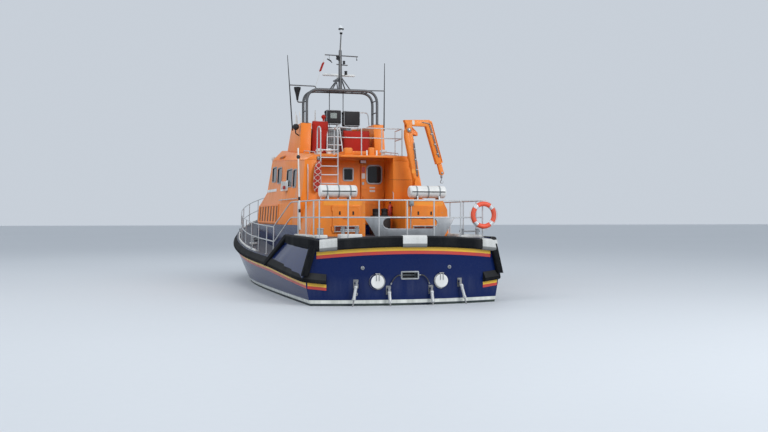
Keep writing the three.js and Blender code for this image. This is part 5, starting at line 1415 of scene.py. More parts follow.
# Side outline of a seat cover in x and z, drawn in by a distance
def coverOutline(top, by):
    p = softPoly([(-2.15, 4.13), (-2.17, top - 0.08), (-2.1, top), (-1.96, top), (-1.9, top - 0.1),
        (-1.87, 4.79), (-1.57, 4.75), (-1.54, 4.66), (-1.56, 4.13)], 0.09, 6)
    return insetOutline(p, by)


def makeCovers():
    v = covers
    for side, (y0, y1, top, seed) in v["seats"].items():
        c = v["cheek"]
        turn = np.linspace(0, pi / 2, 6)
        rows = [(y0 + c * (1 - np.cos(b)), c * (1 - np.sin(b)) + 0.012) for b in turn]
        rows += [(y, 0.012) for y in np.linspace(y0 + c, y1 - c, 14)[1:-1]]
        rows += [(y1 - c * (1 - np.cos(b)), c * (1 - np.sin(b)) + 0.012) for b in turn[::-1]]
        rings = np.stack([stacked(q[:, 0], 0 * q[:, 0] + y, q[:, 1]) for y, by in rows
            for q in [coverOutline(top, by)]])
        o = piece(f"seatCover.{side}", [grid(rings, closeV=True, capU=True)], redCloth,
            stands=(f"seat_{side}",), sharp=180)
        blownCloth(o, v["voxel"], v["cap"], v["fold"], seed)
        seams = []
        for y in (y0 + 0.02, y1 - 0.02):
            q = coverOutline(top, 0.02)
            seams.append(rollOn(o, stacked(q[:, 0], 0 * q[:, 0] + y, q[:, 1])[4:-4], v["seam"]))
        for z in (4.17, top - 0.28):
            seams.append(rollOn(o, [(-2.19, y, z) for y in np.linspace(y0 + 0.04, y1 - 0.04,
                24)], v["seam"]))
        piece(f"seatCoverSeams.{side}", seams, redCloth)
        tie = [turned((-2.2, (y0 + y1) / 2 + dy, 4.17), (-2.17, (y0 + y1) / 2 + dy, 4.17),
            [(0, 0.009), (0.5, 0.012), (1, 0.009)], 12) for dy in np.linspace(-0.3, 0.3, 4) * (y1 - y0)]
        piece(f"coverStuds.{side}", tie, steel, slot="")
    knob = [turned((-2.03, 0.61, 5.2), (-2.03, 0.61, 5.4), [(0, 0.03), (0.3, 0.03), (0.4, 0.055),
        (0.6, 0.075), (0.8, 0.065), (0.95, 0.03), (1, 0.008)], 20)]
    piece("seatHead", knob, redCloth)


makeCovers()
print("stage: covers made")

# Flybridge: instrument housings under the hoop, levers, panels, a locker and the short ladder from the roof
bridge = {
    # housing: y from, y to, z from, z to, screen y from, y to, z from, z to
    "housings": [(-0.062, 0.432, 5.148, 5.602, 0.09, 0.3, 5.33, 5.5),
                 (-0.682, -0.135, 5.098, 5.582, 0, 0, 0, 0)],
    "x": (-1.652, -1.348), "ladder": ((0.56, 0.49), (0.03, 0.12)), "ladderX": (-2.3, -2.06),
    "ladderZ": (4.03, 5.11), "back": (-1.9, 0.12, 0.46, 4.16, 4.98),
    "guard": [(-0.66, 5.555), (-0.97, 5.555), (-1.02, 5.1), (-1.1, 5.06)], "guardX": -1.5,
    "levers": (0.1, 0.16), "knobs": (0.11, 0.17), "panels": (-0.35, 0.14, 0.42)}


def makeBridge():
    v = bridge
    boxes, frames, glassy, knobs = [], [], [], []
    for y0, y1, z0, z1, a, b, c, d in v["housings"]:
        boxes.append(roundBox((v["x"][0], y0, z0), (v["x"][1], y1, z1), 0.045, 5))
        face = aftWall(v["x"][0])
        frames.append(frameOn(face, rect(y0 + 0.006, y1 - 0.006, z0 + 0.006, z1 - 0.006, 0.045), 0.016,
            -0.012, 0.006, 0.003))
        if b:
            glassy.append(panel(face, rect(a, b, c, d, 0.012), 0.0, 0.007, 0.002))
            knobs += [turned((v["x"][0] - 0.022, y, z0 + 0.07), (v["x"][0], y, z0 + 0.07),
                [(0, 0.012), (0.2, 0.016), (1, 0.018)], 16) for y in np.linspace(y0 + 0.08, y1 - 0.08, 5)]
        knobs += [turned(((v["x"][0] + v["x"][1]) / 2, y, z1 - 0.07),
            ((v["x"][0] + v["x"][1]) / 2, y + s * 0.03, z1 - 0.07), [(0, 0.03), (0.7, 0.03), (1, 0.02)], 18)
            for y, s in ((y0, -1), (y1, 1))]
    piece("instrumentHousings", boxes, black)
    piece("instrumentRims", frames, alloy)
    piece("instrumentScreen", glassy, screen)
    piece("instrumentKnobs", knobs, black)
    guard = pipe([(v["guardX"], *q) for q in v["guard"]], 0.12, 0.017)
    piece("instrumentGuard", [guard], rail)
    (pl, pt), (sl, st) = v["ladder"]
    (x0, x1), (z0, z1) = v["ladderX"], v["ladderZ"]
    strings = [roundPath([(x0, low, z0), (x1, top, z1), (x1 + 0.3, top, z1 + 0.015),
        (x1 + 0.36, top, z1 - 0.3)], 0.1) for low, top in ((pl, pt), (sl, st))]
    ladder = [tube(q, 0.02) for q in strings]
    for k in np.linspace(0.14, 0.86, 4):
        x, z = x0 + (x1 - x0) * k, z0 + (z1 - z0) * k
        a, b = pl + (pt - pl) * k, sl + (st - sl) * k
        ladder.append(roundBox((x - 0.02, b, z - 0.014), (x + 0.075, a, z + 0.014), 0.006))
    ladder += [flange((x0, y, z0 - 0.004), 0.045) for y in (pl, sl)]
    piece("bridgeLadder", ladder, rail)
    x, y0, y1, z0, z1 = v["back"]
    back = [roundBox((x, y0, z0), (x + 0.3, y1, z1), 0.03, 4)]
    back += [roundBox((x - 0.012, y - 0.012, z0 + 0.06), (x + 0.01, y + 0.012, z1 - 0.06), 0.006)
        for y in np.linspace(y0 + 0.06, y1 - 0.06, 5)]
    piece("bridgeLocker", back, greyBox, slot="white_plastic")
    levers = [pipe([(-0.62, y, 5.08), (-0.64, y, 5.2), (-0.66, y + 0.01, 5.24)], 0.03, 0.009, 10)
        for y in v["levers"]]
    levers += [turned((-0.66, y, 5.23), (-0.67, y, 5.275), [(0, 0.012), (0.3, 0.02), (0.8, 0.018),
        (1, 0.008)], 14) for y in v["knobs"]]
    dash = [roundBox((-0.74, y - 0.1, 5.04), (-0.56, y + 0.1, 5.14), 0.02) for y in v["panels"]]
    piece("helmLevers", levers, black)
    piece("helmPanels", dash, greyBox, slot="white_plastic")


makeBridge()

# Net bag hung beside the roof ladder: a slack sack, and a net of cord crossing over it in two ways
net = {"top": (-4.53, 1.3, 3.8), "foot": (-4.56, 1.37, 2.9), "wide": 0.13, "deep": 0.075, "cord": 0.009,
       "turns": 5, "ways": 6, "voxel": 0.012, "cap": 0.01}


def makeNet():
    v = net
    t = np.linspace(0, 1, 30)
    a, b = np.array(v["top"]), np.array(v["foot"])
    spine = a + (b - a) * t[:, None] + stacked(-0.02 * np.sin(pi * t), 0.03 * np.sin(pi * t), 0 * t)
    bulge = np.sin(pi * np.clip(t, 0.02, 0.98)) ** 0.35
    swell = np.clip(bulge, 0.2, 1) * (0.75 + 0.25 * t) + 0.06 * np.sin(9 * t)
    sack = sweep(spine, ringOf(1.0, 28) * [v["wide"], v["deep"]], lift=(-1, 0, 0), scale=swell)
    o = piece("netSack", [sack], redCloth, sharp=180)
    blownCloth(o, v["voxel"], v["cap"], (0.012, 12.0), 1.0)
    cords = {0: [], 1: []}
    s = np.linspace(0.03, 0.97, 90)
    for k in range(v["ways"]):
        for way in (1, -1):
            ang = 2 * pi * (k / v["ways"] + way * v["turns"] * s / 3)
            mid = np.stack([np.interp(s, t, spine[:, i]) for i in range(3)], -1)
            r = np.interp(s, t, swell)
            out = mid + stacked(-(v["deep"] + 0.004) * r * np.sin(ang),
                (v["wide"] + 0.004) * r * np.cos(ang), 0 * s)
            cords[(k + (way > 0)) % 2].append(rollOn(o, out, v["cord"], 0.5))
    piece("netCordsWhite", cords[0], ropeWhite)
    piece("netCordsRed", cords[1], ropeRed)
    hook = pipe([v["top"], (v["top"][0], v["top"][1], 3.86), (-4.455, v["top"][1], 3.88)], 0.03, 0.008, 10)
    piece("netHook", [hook, roundBox((-4.462, 1.26, 3.83), (-4.448, 1.34, 3.93))], steel, slot="")


makeNet()
print("stage: net made")

# Hoses of the inner trim rams: each leaves the louvred recess, bows out and drops to its ram's plate
hoses = {"radius": 0.014, "ferrule": 0.05,
         # out from the transom, distance from the centreline, height
         "route": [(0.002, 0.238, 0.733), (0.07, 0.318, 0.775), (0.058, 0.432, 0.7), (0.045, 0.5, 0.52)]}


# Cubic Bezier curve from the route's first point to its last, drawn towards the two between
def makeHoses():
    v = hoses
    u = np.linspace(0, 1, 32)[:, None]
    for side, s in sides:
        a, b, c, d = (np.array([sternX(y) - out, s * y, z]) for out, y, z in v["route"])
        path = (1 - u) ** 3 * a + 3 * u * (1 - u) ** 2 * b + 3 * u * u * (1 - u) * c + u**3 * d
        name = f"ram_hose_{side}"
        o = piece(f"ramHose.{side}", [tube(path, v["radius"], 16)], hose, stands=(name,))
        ends = [turned(p, p + unit(q - p) * v["ferrule"], [(0, 0.022), (0.25, 0.022), (0.3, 0.018),
            (0.95, 0.018), (1, 0.015)], 16) for p, q in ((path[0], path[2]), (path[-1], path[-3]))]
        tips = piece(f"ramHoseEnds.{side}", ends, steel)


makeHoses()

# Transom fittings: a wall whose u and v are y and z, out to the stern
transom = {
    "recess": (-0.235, 0.235, 0.635, 0.845), "flapY": 0.83, "flapZ": 0.59, "disc": 0.166, "ringOut": 0.034,
    "studs": [(1.185, 0.93), (-1.06, 0.93), (1.345, 0.29)],
    "back": -8.903, "backPanel": (-0.225, 0.225, 0.645, 0.835), "slots": (0.675, 0.755), "discX": -9.062,
    "hingeZ": 0.786, "straps": (-0.035, 0.035), "plateBolts": ((-0.048, 0.048), (-0.115, 0.075)),
    # ram: y at the head, z at the head, y at the foot
    "rams": {"outer": (1.35, 0.56, 1.53), "inner": (0.55, 0.4, 0.55)}, "ramFoot": -0.27}


def transomWall(y, z, out):
    return stacked(sternX(y) - out, y, z)


# Circle on the transom
def circle(radius, y, z, count=40):
    return ringOf(radius, count) + [y, z]


def makeTransom():
    v = transom
    rim = [frameOn(transomWall, rect(*v["recess"], 0.03), 0.036, -0.004, 0.014)]
    piece("recessRim", rim, alloy)
    back = aftWall(v["back"])
    piece("recessBack", [panel(back, rect(*v["backPanel"], 0.02), -0.002, 0.006, 0.002)], greyBox)
    slots = [panel(back, rect(-0.17, 0.17, z, z + 0.045, 0.015), 0.005, 0.02) for z in v["slots"]]
    piece("recessSlots", slots, black)
    for side, s in sides:
        y, z = s * v["flapY"], v["flapZ"]
        ring = [frameOn(transomWall, circle(0.198, y, z), 0.05, -0.004, v["ringOut"] - 0.008, 0.006)]
        piece(f"exhaustRing.{side}", ring, steel)
        x, r, top = v["discX"], v["disc"], v["hingeZ"]
        disc = turned((x - 0.001, y, z), (x - 0.024, y, z), [(0, r - 0.006), (0.15, r), (0.7, r),
            (0.95, r - 0.008), (1, r - 0.03), (0.9, r - 0.05), (0.92, 0.03), (1, 0.008)], 48)
        strap = [roundBox((x - 0.03, y + k - 0.011, z + 0.02), (x - 0.02, y + k + 0.011, z + 0.19), 0.004)
            for k in v["straps"]]
        hinge = [tube([[x - 0.016, y - 0.06, top], [x - 0.016, y + 0.06, top]], 0.012, 14)]
        piece(f"exhaustDisc.{side}", [disc], white, body=f"exhaust_flap_{side}",
            stands=(f"exhaust_flap_{side}",))
        piece(f"exhaustHinge.{side}", strap + hinge, steel, body=f"exhaust_flap_{side}")
    studs, eyes = [], []
    for y, z in v["studs"]:
        a = np.array([sternX(y), y, z])
        studs.append(turned(a + [0.004, 0, 0], a - [0.03, 0, 0], [(0, 0.048), (0.4, 0.048), (0.6, 0.04),
            (0.95, 0.034), (1, 0.022)], 28))
        eyes.append(turned(a - [0.024, 0, 0], a - [0.034, 0, 0], [(0, 0.02), (0.6, 0.02), (1, 0.012)], 20))
    piece("transomStuds", studs, alloy)
    piece("transomEyes", eyes, black)
    plates = []
    across, up = v["plateBolts"]
    for y0, z0, y1 in v["rams"].values():
        for s in (1, -1):
            y = s * y0
            plates.append(panel(transomWall, rect(y - 0.062, y + 0.062, z0 - 0.13, z0 + 0.09, 0.012),
                -0.002, 0.012, 0.003))
            for dy in across:
                for dz in up:
                    a = np.array([sternX(y + dy), y + dy, z0 + dz])
                    plates.append(turned(a - [0.01, 0, 0], a - [0.022, 0, 0],
                        [(0, 0.011), (0.7, 0.011), (1, 0.007)], 6))
    piece("ramPlates", plates, steel)
    for side, s in sides:
        for kind, (y0, z0, y1) in v["rams"].items():
            head = np.array([sternX(y0) - 0.07, s * y0, z0])
            foot = np.array([sternX(y1) - 0.25, s * y1, v["ramFoot"]])
            at = lambda t: head + (foot - head) * t
            body = turned(at(0.085), at(0.505), [(0, 0.044), (0.03, 0.048), (0.1, 0.048), (0.12, 0.0405),
                (0.86, 0.0405), (0.88, 0.05), (0.97, 0.05), (1, 0.03)])
            port = [tube([at(k) + [-0.03, 0, 0], at(k) + [-0.075, 0, 0.01]], 0.012, 10)
                for k in (0.14, 0.44)]
            piece(f"ramBody.{kind}.{side}", [body, *port], rail, body=f"tab_cylinder_{kind}_{side}")
            piece(f"ramBoot.{kind}.{side}", [turned(at(0.94), at(1.0),
                [(0, 0.02), (0.2, 0.03), (0.9, 0.034), (1, 0.03)], 20)], black,
                body=f"tab_rod_{kind}_{side}")


makeTransom()
print("stage: transom made")

# Lockers: door skins with pressed frames and latches, blank plates over them, panels low down, seams
lockers = {
    "aft": -6.0, "leaf": -6.024,
    # middle y of the door, plate y from, y to
    "port": (0.86, 0.42, 1.5), "starboard": (-1.4, -1.95, -0.95), "door": (0.385, 1.745, 2.495),
    "plate": (2.5, 2.615), "vent": (1.78, 1.93), "frameFoot": 1.99, "latches": 0.19,
    "seams": {"port": (0.32, 1.61), "starboard": (-0.84, -1.95)}, "seamZ": (2.632, 2.637),
    "bolts": (1.74, 2.0, 2.3, 2.57)}


def makeLockers():
    v = lockers
    leaf, wall = aftWall(v["leaf"]), aftWall(v["aft"])
    for side, s in sides:
        mid, p0, p1 = v[side]
        half, z0, z1 = v["door"]
        body = f"locker_door_{side}"
        skin = [panel(leaf, rect(mid - half, mid + half, z0, z1, 0.03), 0.0004, 0.008, 0.003),
            frameOn(leaf, rect(mid - half + 0.05, mid + half - 0.05, v["frameFoot"], z1 - 0.04, 0.03),
            0.012, 0.007, 0.012, 0.003)]
        piece(f"lockerSkin.{side}", skin, orange, body=body)
        a, b = v["vent"]
        piece(f"lockerVent.{side}", [panel(leaf, rect(mid - half + 0.05, mid + half - 0.05, a, b, 0.015),
            0.007, 0.012, 0.002)], ventRed, body=body)
        y0, y1 = mid - half + 0.04, mid + half - 0.04
        x = v["leaf"] - 0.034
        root = v["leaf"] - 0.004
        guard = [pipe([(root, y0, z), (x, y0, z), (x, y1, z), (root, y1, z)], 0.03, 0.011) for z in (b, a)]
        guard += [tube([[x, y, a], [x, y, b]], 0.009, 10) for y in (y0 + 0.012, mid, y1 - 0.012)]
        piece(f"lockerGuard.{side}", guard, rail, body=body)
        lock = []
        for y in (mid - v["latches"], mid + v["latches"]):
            lock += [panel(leaf, rect(y - 0.022, y + 0.022, 2.24, 2.34, 0.012), 0.007, 0.02),
                turned((v["leaf"] - 0.018, y, 2.31), (v["leaf"] - 0.034, y, 2.31),
                [(0, 0.014), (0.7, 0.014), (1, 0.008)], 16)]
        piece(f"lockerLatches.{side}", lock, black, body=body)
        piece(f"lockerPlate.{side}", [panel(wall, rect(p0, p1, *v["plate"], 0.012), 0.0004, 0.004,
            0.001)], paleOrange)
        inner, outer = v["seams"][side]
        seams = [panel(wall, rect(*sorted((inner + s * 0.012, outer - s * 0.012)), *v["seamZ"], 0.002),
            0.0003, 0.002, 0.0006)]
        for y in sorted((inner + s * 0.03, outer - s * 0.03)):
            seams += [turned((v["aft"] - 0.001, y, z), (v["aft"] - 0.008, y, z),
                [(0, 0.01), (0.7, 0.01), (1, 0.006)], 8) for z in v["bolts"]]
        piece(f"lockerBolts.{side}", seams, steel)
    box = [roundBox((-6.075, -1.07, 2.5), (-6.005, -0.95, 2.68), 0.012),
        roundBox((-6.09, -1.045, 2.53), (-6.07, -0.975, 2.6), 0.008)]
    piece("craneValveBox", box, greyBox)
    duct = [pipe([(-6.04, -1.0, 2.5), (-6.04, -1.0, 2.42), (-6.02, -0.99, 2.1), (-6.02, -0.99, 1.7)],
        0.03, 0.014, 10)]
    piece("craneDuct", duct, rail)


makeLockers()
print("stage: lockers made")

# Gear in the passage between the lockers: pump case, two drums, a bottle on the locker's side
gear = {"case": ((-5.2, -0.66, 1.68), (-4.72, -0.14, 2.2)), "drums": [(-4.98, -0.53), (-4.98, -0.27)],
        "bottle": (-4.72, -0.775, 2.22, 2.58)}


def makePassageGear():
    v = gear
    low, high = np.array(v["case"][0]), np.array(v["case"][1])
    case = [roundBox(low, high, 0.04, 4), roundBox(low + [0.02, 0.03, 0.5],
        high - [0.02, 0.03, -0.03], 0.025)]
    case += [roundBox((low[0] - 0.012, y - 0.012, low[2] + 0.06), (low[0] + 0.01, y + 0.012,
        high[2] - 0.08), 0.006) for y in np.linspace(low[1] + 0.08, high[1] - 0.08, 4)]
    piece("pumpCase", case, hose, slot="black_plastic")
    z = high[2] + 0.028
    drums = [turned((x, y, z), (x, y, z + 0.2), [(0, 0.09), (0.05, 0.1), (0.3, 0.1), (0.35, 0.094),
        (0.6, 0.094), (0.65, 0.1), (0.9, 0.1), (0.95, 0.09), (1, 0.04)], 32) for x, y in v["drums"]]
    piece("gearDrums", drums, black)
    x, y, z0, z1 = v["bottle"]
    rows = [(0, 0.03), (0.02, 0.06), (0.75, 0.062), (0.85, 0.045), (0.9, 0.02), (1, 0.018)]
    piece("bottle", [turned((x, y, z0), (x, y, z1), rows, 28)], red, slot="orange_paint")
    clamp = [pipe([(x + 0.05, -0.838, q), (x + 0.068, y, q), (x, y + 0.068, q), (x - 0.068, y, q),
        (x - 0.05, -0.838, q)], 0.05, 0.008, 8) for q in (2.3, 2.46)]
    clamp.append(turned((x, y, z1 - 0.01), (x, y, z1 + 0.05), [(0, 0.016), (0.4, 0.026), (0.8, 0.026),
        (1, 0.01)], 14))
    piece("bottleClamp", clamp, black)


makePassageGear()

# Quarterdeck and side decks: bollards on plinths, fairleads, pale toe rail, deck filler caps
deckGear = {
    # x, y, length, wide, top of the plinth over the deck
    "plinths": [(-8.28, 1.33, 0.34, 0.56, 0.1), (-8.1, 2.05, 0.5, 0.26, 0.08),
                (-8.1, -1.95, 0.34, 0.62, 0.06), (6.2, 0.62, 0.5, 0.24, 0.06), (6.2, -0.62, 0.5, 0.24, 0.06),
                (0.6, 2.42, 0.44, 0.2, 0.05), (0.6, -2.42, 0.44, 0.2, 0.05)], "quarter": 1.65,
    "toe": (-1.9, 7.35, 0.09), "caps": [(-7.3, 1.5), (-7.3, -1.4), (-6.9, 0.9), (4.1, 1.2), (4.1, -1.2)]}


# Height of the deck: the flat quarterdeck aft, elsewhere the sheer line
def deckAt(x):
    return deckGear["quarter"] if x < -5.2 else deckHeight(x) + 0.03


def makeDeckGear():
    v = deckGear
    pads, posts = [], []
    for x, y, long, wide, high in v["plinths"]:
        z = deckAt(x)
        pads.append(roundBox((x - long / 2, y - wide / 2, z - 0.02),
            (x + long / 2, y + wide / 2, z + high), 0.02, 4))
        a = (long / 2 - 0.1, 0) if long > wide else (0, wide / 2 - 0.1)
        for k in (1, -1):
            at = np.array([x + k * a[0], y + k * a[1], z + high])
            posts.append(turned(at - [0, 0, 0.01], at + [0, 0, 0.17],
                [(0, 0.06), (0.06, 0.06), (0.1, 0.045), (0.8, 0.043), (0.85, 0.058),
                (0.96, 0.058), (1, 0.04)]))
        u = np.array([x, y, z + high + 0.1])
        posts.append(tube([u - [a[0] * 1.35, a[1] * 1.35, 0], u + [a[0] * 1.35, a[1] * 1.35,
            0]], 0.022, 14))
    piece("deckPlinths", pads, white)
    piece("bollards", posts, alloy)
    for side, s in sides:
        x0, x1, inset = v["toe"]
        x = np.linspace(x0, x1, 60)
        line = stacked(x, s * (skinY(x) - inset), deckZ(x) + 0.012)
        section = softPoly([(-0.025, -0.03), (0.025, -0.03), (0.018, 0.045), (-0.018, 0.045)], 0.01)
        piece(f"toeRail.{side}", [sweep(line, section, lift=(0, 0, 1))], white)
        spots = [(x, s * (float(skinY(x)[0]) - inset), deckHeight(x)) for x in (-1.2, 3.9, 6.9)]
        leads = []
        for cx, cy, cz in spots:
            leads += [roundBox((cx - 0.14, cy - 0.035, cz + 0.03), (cx + 0.14, cy + 0.035, cz + 0.075),
                0.012), *[pipe([(cx + k * 0.12, cy, cz + 0.06), (cx + k * 0.13, cy, cz + 0.15),
                (cx + k * 0.04, cy, cz + 0.16)], 0.05, 0.018) for k in (1, -1)]]
        piece(f"fairleads.{side}", leads, alloy)
        vent = [roundBox((1.55, s * 2.2 - 0.1, deckHeight(1.6) + 0.02),
            (1.85, s * 2.2 + 0.1, deckHeight(1.6) + 0.2), 0.03, 4)]
        piece(f"sideVent.{side}", vent, greyBox)
    caps = []
    for x, y in v["caps"]:
        z = deckAt(x)
        caps.append(turned((x, y, z - 0.01), (x, y, z + 0.016), [(0, 0.075), (0.5, 0.075), (0.8, 0.068),
            (0.85, 0.05), (1, 0.045)], 28))
    piece("deckCaps", caps, bronze)


makeDeckGear()

# Foredeck: hatch lid skin with a glazed middle and dogs, capstan, anchor in chocks, bow post and a box
fore = {"hatch": (4.215, 4.985, 0.385), "capstan": (5.55, 0.0), "anchor": (6.55, 0.0), "post": (7.35, 0.0),
        "lift": 0.0455, "box": (5.05, 0.75, 5.5, 1.1, 0.3)}


def makeForedeck():
    v = fore
    x0, x1, half = v["hatch"]
    top = deckHeight(5.0) + 0.09 + v["lift"]
    lid = lambda x, y, out: stacked(x, y, top + out + 0 * x)
    skin = [panel(lid, rect(x0 + 0.01, x1 - 0.01, -half + 0.01, half - 0.01, 0.06), -0.006, 0.012, 0.005),
        frameOn(lid, rect(x0 + 0.14, x1 - 0.14, -half + 0.14, half - 0.14, 0.06), 0.04,
        0.008, 0.026, 0.006)]
    piece("hatchSkin", skin, white, body="foredeck_hatch")
    piece("hatchPane", [panel(lid, rect(x0 + 0.17, x1 - 0.17, -half + 0.17, half - 0.17, 0.04), 0.01, 0.018,
        0.003)], glass, body="foredeck_hatch")
    dogs = []
    for x, y in ((x1 - 0.07, 0.2), (x1 - 0.07, -0.2)):
        dogs += [turned((x, y, top + 0.008), (x, y, top + 0.05), [(0, 0.03), (0.5, 0.026), (0.8, 0.02),
            (1, 0.012)], 20), roundBox((x - 0.015, y - 0.09, top + 0.04),
            (x + 0.015, y + 0.02, top + 0.058), 0.007)]
    piece("hatchDogs", dogs, alloy, body="foredeck_hatch")
    x, y = v["capstan"]
    z = deckHeight(x) + 0.03
    rows = [(0, 0.17), (0.08, 0.17), (0.12, 0.13), (0.2, 0.12), (0.22, 0.15), (0.3, 0.15), (0.36, 0.09),
        (0.6, 0.075), (0.8, 0.1), (0.9, 0.125), (0.97, 0.12), (1, 0.05)]
    piece("capstan", [turned((x, y, z - 0.01), (x, y, z + 0.34), rows, 36)], alloy)
    x, y = v["anchor"]
    z = deckHeight(x) + 0.06
    shank = [sweep([[x - 0.55, 0, z + 0.05], [x - 0.2, 0, z + 0.05], [x + 0.35, 0, z + 0.07]],
        softPoly([(-0.022, -0.035), (0.022, -0.035), (0.022, 0.035), (-0.022, 0.035)], 0.01),
        lift=(0, 0, 1))]
    for s in (1, -1):
        fluke = np.array([(0.28, 0.03), (0.3, 0.1), (-0.12, 0.2), (-0.2, 0.17), (0.02, 0.05)])
        fluke = fluke * [1, s] + [x, 0]
        shank.append(slab(softPoly(fluke, 0.03), "z", z + 0.01, z + 0.03, 0.006))
    shank.append(tube([[x + 0.24, -0.26, z + 0.03], [x + 0.24, 0.26, z + 0.03]], 0.022))
    chocks = [roundBox((x + k - 0.04, s * 0.08 - 0.03, z - 0.05), (x + k + 0.04, s * 0.08 + 0.03, z + 0.03))
        for k in (-0.45, 0.05) for s in (1, -1)]
    piece("anchor", shank, steel)
    piece("anchorChocks", chocks, white)
    x, y = v["post"]
    z = deckHeight(x)
    piece("bowPost", [turned((x, y, z), (x, y, z + 0.3), [(0, 0.12), (0.06, 0.12), (0.1, 0.075),
        (0.75, 0.075), (0.8, 0.1), (0.95, 0.1), (1, 0.07)], 28), tube([[x, -0.2, z + 0.19],
        [x, 0.2, z + 0.19]], 0.028, 16)], black)
    x0, y0, x1, y1, high = v["box"]
    z = deckHeight(5.2)
    box = [roundBox((x0, y0, z + 0.01), (x1, y1, z + high), 0.03, 4),
        roundBox((x0 - 0.02, y0 - 0.02, z + high - 0.03), (x1 + 0.02, y1 + 0.02, z + high + 0.02), 0.02)]
    piece("foredeckBox", box, greyBox)


makeForedeck()
print("stage: deck gear made")

# Pole on the port quarter rail, with black bands and a ball
pole = {"x": -6.8, "y": (2.31, 2.36), "z": (1.84, 4.0), "bands": (2.3, 2.62), "ball": 3.76}


def makePole():
    v = pole
    a, b = np.array([v["x"], v["y"][0], v["z"][0]]), np.array([v["x"], v["y"][1], v["z"][1]])
    piece("quarterPole", [turned(a, b, [(0, 0.012), (0.01, 0.024), (0.5, 0.024), (0.99, 0.018),
        (1, 0.008)], 18)], white)
    at = lambda z: a + (b - a) * (z - a[2]) / (b[2] - a[2])
    bands = [turned(at(z), at(z + 0.09), [(0, 0.026), (0.1, 0.029), (0.9, 0.029), (1, 0.026)], 18)
        for z in v["bands"]]
    bands.append(turned(at(v["ball"] - 0.05), at(v["ball"] + 0.05),
        [(0, 0.02), (0.15, 0.04), (0.5, 0.052), (0.85, 0.04), (1, 0.02)], 20))
    piece("poleBands", bands, black)


makePole()

# Small red flag hanging limp from the halyard: a flat cloth whose fly runs in a folded curve in plan
flag = {"top": (-1.735, 0.55, 7.06), "hoist": 0.29, "fly": 0.36, "folds": 2.6, "deep": 0.03, "lean": 0.1}


# Fly direction turns to and fro along the cloth, so its length in plan stays the length it was cut to
def makeFlag():
    v = flag
    n, m = 90, 24
    s, h = np.linspace(0, v["fly"], n), np.linspace(0, v["hoist"], m)
    turn = 1.35 * np.sin(2 * pi * v["folds"] * s / v["fly"])
    step = v["fly"] / (n - 1)
    fly = np.concatenate([[0], np.cumsum(np.cos(turn[:-1]) * step)])
    side = np.concatenate([[0], np.cumsum(np.sin(turn[:-1]) * step)])
    x0, y0, z0 = v["top"]
    hang = stacked(x0 - 0.35 * fly[:, None] + 0 * h, y0 + side[:, None] + 0.35 * h[None],
        z0 - 0.94 * h[None] + 0 * s[:, None])
    hang[..., 0] -= 0.65 * fly[:, None]
    o = piece("flag", [grid(hang)], redCloth, sharp=180, thick=0.0012)


makeFlag()

# Crane fittings: hydraulic pipes clipped along the boom and jib, blank plates, pin caps and the hook
crane = {"x": -5.0, "knee": (-1.23, 4.7), "pin": (-1.5, 3.23), "tip": (-2.259, 3.471),
    "boomPipes": (-1.5, -1.47), "boomClips": ((3.55, 0.02), (3.85, 0.055), (4.15, 0.085)),
    "boomPlate": (-1.47, -1.35, 3.5, 3.62), "jibPlate": (-1.4, -1.33, 4.86, 4.98),
    # out from the centre plane, y, z
    "jibPipe": ((0.09, -1.62, 4.93), (0.11, -1.66, 4.93), (0.11, -1.84, 4.9), (0.11, -2.13, 3.95),
                (0.09, -2.14, 3.92)),
    "jibClips": ((-1.92, 4.6), (-2.02, 4.3), (-2.1, 4.02)),
    "jibEdge": ((-1.83, 4.96), (-1.93, 4.92), (-2.245, 3.82))}


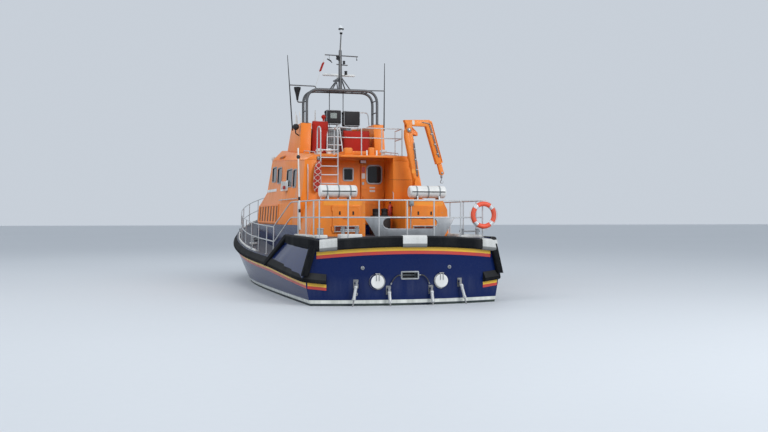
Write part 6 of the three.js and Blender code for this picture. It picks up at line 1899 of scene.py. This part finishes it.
def makeCraneFittings():
    v = crane
    x = v["x"]
    boomFace, jibFace = aftWall(x - 0.09), aftWall(x - 0.095)
    pipes = [pipe([(x - 0.085, y, 3.36), (x - 0.105, y, 3.4), (x - 0.105, y + 0.1, 4.3),
        (x - 0.085, y + 0.105, 4.34)], 0.02, 0.0095, 10) for y in v["boomPipes"]]
    clips = [roundBox((x - 0.117, -1.525 + k, z - 0.015), (x - 0.09, -1.45 + k, z + 0.015), 0.004)
        for z, k in v["boomClips"]]
    piece("boomPipes", pipes + clips, steel, body="crane_boom")
    piece("boomPlate", [panel(boomFace, rect(*v["boomPlate"]) + [0.03, -0.05], 0.0004, 0.004, 0.001)],
        paleOrange, body="crane_boom")
    y, z = v["pin"]
    caps = [turned((x - 0.088, y, z), (x - 0.125, y, z), [(0, 0.06), (0.5, 0.06), (0.7, 0.05), (1, 0.042)])]
    piece("boomPinCaps", caps, steel, body="crane_boom")
    y, z = v["knee"]
    caps = [turned((x - 0.121, y, z), (x - 0.145, y, z), [(0, 0.062), (0.5, 0.062),
        (0.75, 0.05), (1, 0.04)])]
    piece("kneeCaps", caps, steel, body="crane_jib")
    piece("jibPlate", [panel(jibFace, rect(*v["jibPlate"]), 0.0004, 0.005, 0.001)], white, body="crane_jib")
    line = roundPath([(x - out, y, z) for out, y, z in v["jibPipe"]], 0.05)
    pipes = [tube(line + [0, k, 0], 0.0095, 10) for k in (0, -0.03)]
    clips = [roundBox((x - 0.122, y - 0.04, z - 0.015), (x - 0.093, y + 0.035, z + 0.015), 0.004)
        for y, z in v["jibClips"]]
    piece("jibPipes", pipes + clips, steel, body="crane_jib")
    edge = [sweep([(x + s * 0.096, *q) for q in v["jibEdge"]],
        softPoly([(-0.006, -0.02), (0.006, -0.02), (0.006, 0.02), (-0.006, 0.02)], 0.004), lift=(1, 0, 0))
        for s in (-1, 1)]
    piece("jibEdges", edge, orange, body="crane_jib")
    y, z = v["tip"]
    cap = [turned((x + s * 0.064, y, z), (x + s * 0.082, y, z), [(0, 0.035), (0.6, 0.035), (1, 0.024)], 20)
        for s in (1, -1)]
    piece("tipCaps", cap, steel, body="crane_extension")
    a = np.linspace(-0.5 * pi, 1.05 * pi, 26)
    bow = stacked(x + 0 * a, y - 0.012 + 0.045 * np.cos(a) * 0.9, z - 0.255 + 0.045 * np.sin(-a))
    swivel = [(0, 0.02), (0.2, 0.032), (0.8, 0.032), (1, 0.02)]
    hook = [turned((x, y, z - 0.05), (x, y, z - 0.15), swivel, 18),
            tube([(x, y, z - 0.14), (x, y, z - 0.2)], 0.014),
            tube(bow, 0.014, scale=np.linspace(1.1, 0.5, 26))]
    piece("craneHook", hook, steel, body="crane_extension")


makeCraneFittings()
print("stage: crane made")

# Floor at the waterline and soft studio light
studio = {"floor": (0.62, 0.65, 0.68), "sky": (0.8, 0.87, 0.96), "skyPower": 0.72,
          # place, aim, size, power
          "lamps": [((-16, 22, 20), (-3, 0, 2), 16, 2200), ((-30, -12, 16), (-5, 0, 2), 14, 4200),
                    ((14, 4, 24), (0, 0, 2), 14, 1000)]}


def makeStudio(v):
    n = 33
    u = np.linspace(-1, 1, n)
    across, along = np.meshgrid(u * 260, u * 260, indexing="ij")
    points, quads = grid(stacked(across, along, np.zeros_like(across)))[:2]
    mesh = bpy.data.meshes.new("floor")
    mesh.from_pydata(points.tolist(), [], quads.tolist())
    floor = bpy.data.objects.new("floor", mesh)
    bpy.context.collection.objects.link(floor)
    mesh.materials.append(finishOf("floorFinish", v["floor"], tuple(0.97 * c for c in v["floor"]),
        v["floor"], 0.1, (0.55, 0.65), (3, 0.02), patch=0.08))
    world = bpy.data.worlds.new("studio")
    bpy.context.scene.world = world
    world.use_nodes = True
    world.node_tree.nodes["Background"].inputs[0].default_value = (*v["sky"], 1)
    world.node_tree.nodes["Background"].inputs[1].default_value = v["skyPower"]
    for k, (place, aim, size, power) in enumerate(v["lamps"]):
        data = bpy.data.lights.new(f"softbox{k}", "AREA")
        data.size, data.energy = size, power
        lamp = bpy.data.objects.new(f"softbox{k}", data)
        bpy.context.collection.objects.link(lamp)
        lamp.location = place
        lamp.rotation_mode = "QUATERNION"
        lamp.rotation_quaternion = (Vector(aim) - Vector(place)).to_track_quat("-Z", "Y")


makeStudio(studio)
bpy.context.scene.view_settings.view_transform = "Standard"
print("stage: studio ready")
